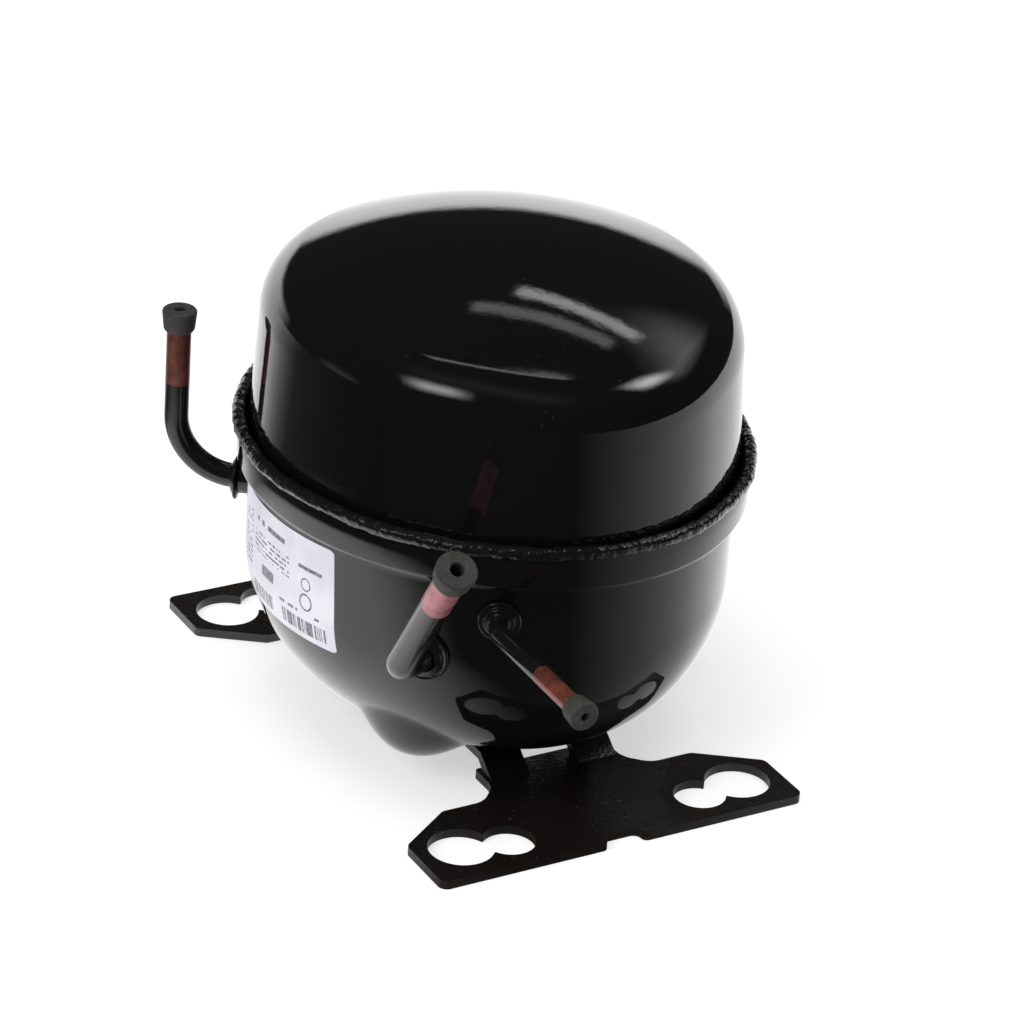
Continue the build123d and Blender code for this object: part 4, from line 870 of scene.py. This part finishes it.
def lathe(name, section, centre, axis, material, steps=72):
    """Spins a closed half section of (radius, height) round an axis. Sizes are in millimetres."""
    turn = Vector((0, 0, 1)).rotation_difference(Vector(axis)).to_matrix()
    points, faces = [], []
    rows = len(section)
    for step in range(steps):
        angle = 2 * math.pi * step / steps
        for radius, height in section:
            spot = Vector((radius * math.cos(angle), radius * math.sin(angle), height))
            points.append(Vector(centre) + turn @ spot)
    for step in range(steps):
        base, ahead = step * rows, (step + 1) % steps * rows
        for row in range(rows):
            following = (row + 1) % rows
            faces.append((base + row, ahead + row, ahead + following, base + following))
    piece = piece_from(name, [tuple(point) for point in points], faces, material, 50.0)
    work = bmesh.new()
    work.from_mesh(piece.data)
    bmesh.ops.dissolve_degenerate(work, dist=1e-6, edges=work.edges)
    bmesh.ops.recalc_face_normals(work, faces=work.faces)
    work.to_mesh(piece.data)
    work.free()
    return piece


# %% [markdown]
# The plugs: a cap over the tube's end, flared towards its top, with a stem inside the tube and a
# blind moulding hole in the middle of its face.

# %% Plugs
PLUG_OVER, PLUG_HOLD, PLUG_CAP, PLUG_STEM = 1.7, 5.5, 2.0, 9.0


def plug_section(radius):
    rim, bore, stem = radius + PLUG_OVER, radius + 0.05, radius - TUBE_WALL - 0.05
    hollow = stem * 0.55
    return rounded_section([
        (0, -PLUG_STEM), (stem - 0.8, -PLUG_STEM), (stem, -PLUG_STEM + 0.8), (stem, 0.05), (bore, 0.05),
        (bore, -PLUG_HOLD), (rim - 1.2, -PLUG_HOLD), (rim - 0.6, -PLUG_HOLD + 0.8), (rim, PLUG_CAP - 0.7),
        (rim - 0.6, PLUG_CAP), (hollow + 0.3, PLUG_CAP), (hollow, PLUG_CAP - 0.3), (hollow, -PLUG_STEM + 2),
        (0, -PLUG_STEM + 2),
    ], 0.4)


plug_pieces = {}
for name, (*_, way, _, _, radius) in TUBES.items():
    plug_pieces[name] = lathe(name + "_stopper", plug_section(radius), tube_ends[name], way, PLUG_RUBBER)
print("plugs:", [piece.name for piece in plug_pieces.values()])

# %% [markdown]
# The collars: a sleeve through the wall with a flange outside, and a fillet of braze that creeps
# up the tube. The ring between flange and tube is what shows as concentric circles.

# %% Collars
COLLAR_RISE = {"suction": 0.4, "discharge": 0.4, "process": 4.0}
collar_pieces = {}
for name, rise in COLLAR_RISE.items():
    at, radius = TUBES[name][0], TUBES[name][6]
    sleeve, flange = radius + 1.5, radius + 3.8
    section = rounded_section([
        (radius - 0.1, -5.0), (sleeve, -5.0), (sleeve, rise - 0.5), (flange - 0.4, rise),
        (flange, rise + 0.5), (flange - 0.5, rise + 1.2), (sleeve + 0.6, rise + 0.9),
        (sleeve, rise + 2.0), (radius + 0.5, rise + 2.2),
        (radius - 0.1, rise + 2.9),
    ], 0.35)
    collar_pieces[name] = lathe(name + "_ring", section, at, wall_way(WALL_TURN[name]), COLLAR_PAINT)
print("collars:", [piece.name for piece in collar_pieces.values()])

# %% [markdown]
# ## Feet
# Each foot is one sheet blank with two keyhole-like openings, a pair from two overlapping circles,
# so that it fits both standard bolt spacings. The blank is laid out as a flat outline, filled,
# thickened and given a small rolled edge with a Bevel modifier.

# %% Foot outline
PLATE = 3.0
EDGE_ROLL = 0.45
WIDE = (50.8, 82.55, 10.6)
NARROW = (35.0, 85.0, 8.5)
FRONT, BACK, END_X = -98.55, -61.55, 66.0
CHAMFER, CORNER_Y = 20.0, BACK - 13.6
NOTCH_HALF, NOTCH_DEPTH = 6.4, 4.5
NECK_HALF, NECK_ROUND, TONGUE_END = 24.0, 7.0, 43.0
EAR_IN, EAR_WIDTH = 9.0, 14.0


def rounded_outline(corners):
    """A flat outline from corners given as x, y and rounding radius."""
    spots = []
    count = len(corners)
    for index, (x, y, radius) in enumerate(corners):
        here = Vector((x, y))
        before = (Vector(corners[index - 1][:2]) - here).normalized()
        after = (Vector(corners[(index + 1) % count][:2]) - here).normalized()
        if radius == 0:
            spots.append(here)
            continue
        half = before.angle(after) / 2
        start, stop = here + before * radius / math.tan(half), here + after * radius / math.tan(half)
        centre = here + (before + after).normalized() * radius / math.sin(half)
        first, sweep = start - centre, (start - centre).angle_signed(stop - centre)
        for share in np.linspace(0, 1, 9):
            angle = -sweep * share
            turned = Vector((first.x * math.cos(angle) - first.y * math.sin(angle),
                             first.x * math.sin(angle) + first.y * math.cos(angle)))
            spots.append(centre + turned)
    return spots


def keyhole(side):
    """The outline of the two overlapping circles on one side."""
    circles = [(Vector((side * x, -y)), radius) for x, y, radius in (WIDE, NARROW)]
    spots = []
    for (centre, radius), (other, other_radius) in (circles, circles[::-1]):
        for angle in np.radians(np.arange(0, 360, 4)):
            spot = centre + Vector((math.cos(angle), math.sin(angle))) * radius
            if (spot - other).length > other_radius:
                spots.append(spot)
    middle = (circles[0][0] + circles[1][0]) / 2
    return sorted(spots, key=lambda spot: math.atan2(spot.y - middle.y, spot.x - middle.x))


def half_corners(side):
    """Half of the foot's outline: x, y and rounding radius."""
    return [(side * NOTCH_HALF, FRONT + NOTCH_DEPTH, 2.5), (side * NOTCH_HALF, FRONT, 2.0),
            (side * END_X, FRONT, 3.0), (side * END_X, CORNER_Y, 3.0), (side * (END_X - CHAMFER), BACK, 3.0),
            (side * (NECK_HALF + NECK_ROUND), BACK, 8.0), (side * NECK_HALF, BACK + NECK_ROUND, 8.0),
            (side * NECK_HALF, -TONGUE_END, 1.0)]


outline = rounded_outline(half_corners(1) + half_corners(-1)[::-1])
print("foot outline:", len(outline), "points")

# %% Foot solid
def sheet_solid(work, loops, thickness):
    """Fills flat loops, the first an outline and the rest holes, and gives them thickness."""
    flat = [Vector((spot.x * MM, spot.y * MM, 0)) for loop in loops for spot in loop]
    triangles = tessellate_polygon([[Vector((s.x * MM, s.y * MM, 0)) for s in loop] for loop in loops])
    verts = [work.verts.new(point) for point in flat]
    faces = [work.faces.new([verts[index] for index in triangle]) for triangle in triangles]
    raised = bmesh.ops.extrude_face_region(work, geom=faces)
    lifted = [item for item in raised["geom"] if isinstance(item, bmesh.types.BMVert)]
    bmesh.ops.translate(work, verts=lifted, vec=(0, 0, thickness * MM))


def add_ear(work, side):
    """The welding ear that rises from the foot to the underside of the bowl."""
    profile = [(-53.0, 0.2), (-53.0, 2.8), (-44.0, 9.6), (-29.0, 9.6), (-29.0, 6.6), (-43.0, 6.6),
               (-50.0, 0.2)]
    near = [work.verts.new((side * EAR_IN * MM, y * MM, z * MM)) for y, z in profile]
    face = work.faces.new(near)
    raised = bmesh.ops.extrude_face_region(work, geom=[face])
    lifted = [item for item in raised["geom"] if isinstance(item, bmesh.types.BMVert)]
    bmesh.ops.translate(work, verts=lifted, vec=(side * EAR_WIDTH * MM, 0, 0))


def make_foot(name, flip):
    mesh = bpy.data.meshes.new(name)
    work = bmesh.new()
    sheet_solid(work, [outline, keyhole(1), keyhole(-1)], PLATE)
    for side in (1, -1):
        add_ear(work, side)
    if flip:
        bmesh.ops.scale(work, verts=work.verts, vec=(1, -1, 1))
    bmesh.ops.recalc_face_normals(work, faces=work.faces)
    work.to_mesh(mesh)
    work.free()
    mesh.materials.append(PLATE_PAINT)
    foot = bpy.data.objects.new(name, mesh)
    bpy.context.scene.collection.objects.link(foot)
    roll = foot.modifiers.new("rolled_edge", "BEVEL")
    roll.width, roll.segments, roll.limit_method = EDGE_ROLL * MM, 3, "ANGLE"
    roll.angle_limit, roll.harden_normals = math.radians(50), True
    foot.data.shade_smooth()
    foot.data.set_sharp_from_angle(angle=math.radians(40))
    finish_modifiers(foot)
    return foot


front_foot = make_foot("front_foot", False)
rear_foot = make_foot("rear_foot", True)
print("feet:", len(front_foot.data.polygons), "faces each")

# %% [markdown]
# ## The rating label
# A thin film that lies on the curved wall. It is a grid in its own width and height, set on the
# bowl a quarter of a millimetre proud. Rows near its top and bottom are shorter, which rounds its
# corners, and the same grid gives its UV map.

# %% The label
LABEL_MIDDLE = (0.5, 65.5)
LABEL_SIZE = (62.0, 36.0)
LABEL_TILT = math.radians(3.0)
LABEL_ROUND = 1.5


def on_wall(y, z, lift):
    """The point of the shell's left wall at a given y and z, and a lift away from it."""
    inset = 0.0
    if z < BOWL_BOTTOM + BOWL_CORNER:
        drop = BOWL_BOTTOM + BOWL_CORNER - z
        inset = BOWL_CORNER - math.sqrt(BOWL_CORNER**2 - drop**2)
    reach = LOWER_HALF - inset + SIDE_RADIUS_EXTRA + lift
    return SIDE_CENTRE - math.sqrt(reach**2 - y**2)


def make_label():
    columns, rows = 72, 44
    width, height = LABEL_SIZE
    points, faces, uvs = [], [], []
    for lift in (0.24, 0.03):
        for row in range(rows + 1):
            up = height * row / rows
            edge = min(up, height - up)
            past = max(LABEL_ROUND - edge, 0.0)
            short = LABEL_ROUND - math.sqrt(LABEL_ROUND**2 - past**2)
            for column in range(columns + 1):
                across = short + (width - 2 * short) * column / columns
                right, rise = across - width / 2, up - height / 2
                y = LABEL_MIDDLE[0] - (right * math.cos(LABEL_TILT) - rise * math.sin(LABEL_TILT))
                z = LABEL_MIDDLE[1] + rise * math.cos(LABEL_TILT) + right * math.sin(LABEL_TILT)
                points.append((on_wall(y, z, lift), y, z))
                uvs.append((across / width, up / height))
    per_row, per_layer = columns + 1, (columns + 1) * (rows + 1)
    for layer in (0, per_layer):
        for row in range(rows):
            for column in range(columns):
                base = layer + row * per_row + column
                faces.append((base, base + 1, base + per_row + 1, base + per_row))
    rim = [column for column in range(columns)] + [row * per_row + columns for row in range(rows)]
    rim += [rows * per_row + columns - column for column in range(columns)]
    rim += [(rows - row) * per_row for row in range(rows)]
    for index, here in enumerate(rim):
        after = rim[(index + 1) % len(rim)]
        faces.append((here, after, after + per_layer, here + per_layer))
    label = piece_from("label_film", points, faces, LABEL_FILM, 60.0)
    layer = label.data.uv_layers.new(name="label_map")
    for loop in label.data.loops:
        layer.data[loop.index].uv = uvs[loop.vertex_index]
    return label


label_film = make_label()
print("label:", len(label_film.data.polygons), "faces")

# %% [markdown]
# ## Riding and replacing
# Every piece rides on a body of the frame and hides the CAD solid that it stands for.

# %% Ride and replace
def fit(piece, body, nodes):
    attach(piece, body)
    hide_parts(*nodes)


fit(bowl_skin, "shell", ["lower_shell"])
fit(cap_skin, "shell", ["upper_shell"])
fit(weld_bead, "shell", ["seam_weld"])
fit(front_foot, "shell", ["front_base_plate"])
fit(rear_foot, "shell", ["rear_base_plate"])
fit(label_film, "shell", ["rating_label"])
for name in TUBES:
    fit(tube_pieces[name], "shell", [name + "_tube"])
    fit(collar_pieces[name], "shell", [name + "_collar"])
    fit(plug_pieces[name], name + "_plug", [name + "_plug"])

# %% [markdown]
# ## Camera
# A long lens from the left front, a little above. The camera's three directions are worked out
# from its two angles and its small roll.

# %% The camera
AZIMUTH, ELEVATION, ROLL = (math.radians(angle) for angle in (-31.5, 27.3, 4.3))
TARGET = Vector((-2.6, -22.3, 80.0)) * MM
DISTANCE = 1.35
back = Vector((math.sin(AZIMUTH) * math.cos(ELEVATION), -math.cos(AZIMUTH) * math.cos(ELEVATION),
               math.sin(ELEVATION)))
level = Vector((math.cos(AZIMUTH), math.sin(AZIMUTH), 0))
upright = back.cross(level)
right = level * math.cos(ROLL) + upright * math.sin(ROLL)
upward = back.cross(right)
camera_data = bpy.data.cameras.new("camera")
camera_data.lens, camera_data.sensor_width = 147.6, 36.0
camera_data.clip_start, camera_data.clip_end = 0.1, 20.0
camera = bpy.data.objects.new("camera", camera_data)
camera.matrix_world = Matrix((
    (right.x, upward.x, back.x, TARGET.x + back.x * DISTANCE),
    (right.y, upward.y, back.y, TARGET.y + back.y * DISTANCE),
    (right.z, upward.z, back.z, TARGET.z + back.z * DISTANCE),
    (0, 0, 0, 1),
))
bpy.context.scene.collection.objects.link(camera)
bpy.context.scene.camera = camera

# %% [markdown]
# ## Floor, room and lamps
# Glossy black is only as good as what it mirrors, so the room is built for its reflections. The
# floor is plain and pale. To a mirror it is bright behind, on the right and close by on the left,
# and dark towards the camera. Above it the room is dark but for soft lamps, each a soft-edged
# rectangle in a given direction. One shader group draws a lamp.

# %% A lamp in the room's shader
def compass(azimuth, elevation):
    """A direction. Azimuth 0 is towards -Y, and 90 is towards +X."""
    turn, rise = math.radians(azimuth), math.radians(elevation)
    return Vector((math.sin(turn) * math.cos(rise), -math.cos(turn) * math.cos(rise), math.sin(rise)))


def dot(tree, first, second):
    return vector_math(tree, "DOT_PRODUCT", first, second)["Value"]


def soft_below(tree, value, limit, softness):
    """1 under a limit, fading to 0 across a softness."""
    past = math_node(tree, "DIVIDE", math_node(tree, "SUBTRACT", value, limit), softness)
    node = put(tree, "ShaderNodeMapRange", {"interpolation_type": "SMOOTHSTEP"},
               {0: past, 1: -1.0, 2: 1.0, 3: 1.0, 4: 0.0})
    return node.outputs[0]


def build_room_lamp():
    """A soft-edged rectangle of light seen in one direction."""
    tree, given, out = new_group(
        "room_lamp",
        [("Way", VECTOR, None), ("Centre", VECTOR, None), ("Across", VECTOR, None), ("Up", VECTOR, None),
         ("Half Width", FLOAT, 0.2), ("Half Height", FLOAT, 0.2), ("Softness", FLOAT, 0.1),
         ("Strength", FLOAT, 1.0)],
        [("Light", FLOAT)],
    )
    ahead = dot(tree, given["Way"], given["Centre"])
    depth = math_node(tree, "MAXIMUM", ahead, 0.001)
    edges = []
    for axis, limit in (("Across", "Half Width"), ("Up", "Half Height")):
        share = math_node(tree, "DIVIDE", dot(tree, given["Way"], given[axis]), depth)
        off = math_node(tree, "ABSOLUTE", share)
        edges.append(soft_below(tree, off, given[limit], given["Softness"]))
    inside = times(tree, times(tree, edges[0], edges[1]),
                       math_node(tree, "GREATER_THAN", ahead, 0.0))
    tree.links.new(times(tree, inside, given["Strength"]), out["Light"])
    return tree


ROOM_LAMP = build_room_lamp()
ROOM_DARK = 0.022
ROOM_LAMPS = {
    # azimuth, elevation, tilt, half width, half height, softness, strength
    "left_spot": (-71, 39, 20, 0.17, 0.10, 0.12, 4.5),
    "left_haze": (-45, 62, 0, 0.50, 0.12, 0.20, 0.12),
    "right_spot": (70, 50, -10, 0.13, 0.10, 0.10, 6.0),
    "right_haze": (95, 42, 0, 0.30, 0.12, 0.15, 0.9),
    "rear_window": (137, 57, 0, 0.20, 0.030, 0.02, 1.0),
    "rear_window_high": (157, 78, 0, 0.26, 0.035, 0.03, 1.4),
    "rear_window_low": (131, 50, 0, 0.17, 0.030, 0.02, 2.4),
    "left_wall": (-113, -12, 0, 0.16, 0.30, 0.10, 0.30),
}


def room_lamps(tree, way):
    """All the lamps together, for rays that leave in a direction."""
    total = ROOM_DARK
    for azimuth, elevation, tilt, width, height, softness, strength in ROOM_LAMPS.values():
        centre = compass(azimuth, elevation)
        level = Vector((centre.y, -centre.x, 0)).normalized()
        steep = centre.cross(level)
        cosine, sine = math.cos(math.radians(tilt)), math.sin(math.radians(tilt))
        lamp = use(tree, ROOM_LAMP, {
            "Way": way, "Centre": centre, "Across": level * cosine + steep * sine,
            "Up": steep * cosine - level * sine, "Half Width": width, "Half Height": height,
            "Softness": softness, "Strength": strength})["Light"]
        total = math_node(tree, "ADD", total, lamp)
    return total


print("room lamps:", sorted(ROOM_LAMPS))

# %% [markdown]
# The room gives three answers: white to the camera, the studio to mirrors, and an even glow to all
# that scatters light. The floor glows evenly too, except to mirrors.

# %% Floor and room
FLOOR_FILL, ROOM_FILL = 0.55, 0.35


def by_ray(tree, ray, others, value):
    """One value for a kind of ray, and another for the others."""
    kind = tree.nodes.new("ShaderNodeLightPath").outputs[ray]
    return put(tree, "ShaderNodeMix", {"data_type": "FLOAT"}, {0: kind, 2: others, 3: value}).outputs[0]


def floor_mirrored(tree, place):
    """What a mirror sees of the floor: bright behind and on the right, dark towards the camera."""
    ground = vector_math(tree, "NORMALIZE", place)[0]
    behind = remap(tree, dot(tree, ground, compass(135, 0)), -0.75, 0.6, 0.03, 1.15)
    left = remap(tree, dot(tree, ground, compass(-115, 0)), 0.75, 0.95, 1.0, 0.12)
    near_left = vector_math(tree, "DISTANCE", place, Vector((-0.15, 0.03, 0)))["Value"]
    patch = times(tree, soft_below(tree, near_left, 0.13, 0.05), 1.2)
    return math_node(tree, "MAXIMUM", times(tree, behind, left), patch)


def make_floor():
    mesh = bpy.data.meshes.new("floor")
    reach = 6.0
    mesh.from_pydata([(-reach, -reach, -0.0001), (reach, -reach, -0.0001), (reach, reach, -0.0001),
                      (-reach, reach, -0.0001)], [], [(0, 1, 2, 3)])
    material, tree, shader, place = start_material("pale_floor", Roughness=0.9, Specular_IOR_Level=0.0)
    path = tree.nodes.new("ShaderNodeLightPath").outputs
    shade = blend_colours(tree, path["Is Glossy Ray"], (0.55, 0.55, 0.55, 1), (0.0, 0.0, 0.0, 1))
    tree.links.new(shade, shader.inputs["Base Color"])
    shader.inputs["Emission Color"].default_value = (1, 1, 1, 1)
    glow = by_ray(tree, "Is Glossy Ray", FLOOR_FILL, floor_mirrored(tree, place))
    tree.links.new(glow, shader.inputs["Emission Strength"])
    mesh.materials.append(material)
    floor = bpy.data.objects.new("floor", mesh)
    bpy.context.scene.collection.objects.link(floor)


def make_room():
    world = bpy.data.worlds.new("room")
    bpy.context.scene.world = world
    world.use_nodes = True
    tree = world.node_tree
    way = tree.nodes.new("ShaderNodeTexCoord").outputs["Generated"]
    low = put(tree, "ShaderNodeSeparateXYZ", None, {0: way}).outputs[2]
    behind = remap(tree, dot(tree, way, compass(165, 0)), 0.70, 0.88)
    band = times(tree, behind, soft_below(tree, low, 0.13, 0.05))
    mirrored = math_node(tree, "MULTIPLY_ADD", band, 1.2, room_lamps(tree, way))
    background = tree.nodes["Background"]
    unseen = by_ray(tree, "Is Glossy Ray", ROOM_FILL, mirrored)
    tree.links.new(by_ray(tree, "Is Camera Ray", unseen, 1.0), background.inputs["Strength"])
    background.inputs["Color"].default_value = (1, 1, 1, 1)


make_floor()
make_room()
bpy.context.scene.view_settings.view_transform = "Standard"
print("floor and room stand")

# %% [markdown]
# Area lamps light what scatters: the label, the copper and the rubber. Mirrors do not see them.

# %% Lamps
def soft_box(name, azimuth, elevation, distance, size, power):
    """A rectangular lamp that faces the object from a compass direction and a height."""
    lamp = bpy.data.lights.new(name, "AREA")
    lamp.shape, lamp.size, lamp.size_y, lamp.energy = "RECTANGLE", size[0], size[1], power
    box = bpy.data.objects.new(name, lamp)
    way, centre = compass(azimuth, elevation), Vector((0, 0, 0.09))
    facing = way.to_track_quat("Z", "Y").to_matrix().to_4x4()
    box.matrix_world = Matrix.Translation(centre + way * distance) @ facing
    box.visible_camera, box.visible_glossy = False, False
    bpy.context.scene.collection.objects.link(box)


soft_box("overhead", 0, 88, 1.6, (1.6, 1.6), 22)
soft_box("left_wall", -80, 35, 1.6, (0.9, 0.9), 14)
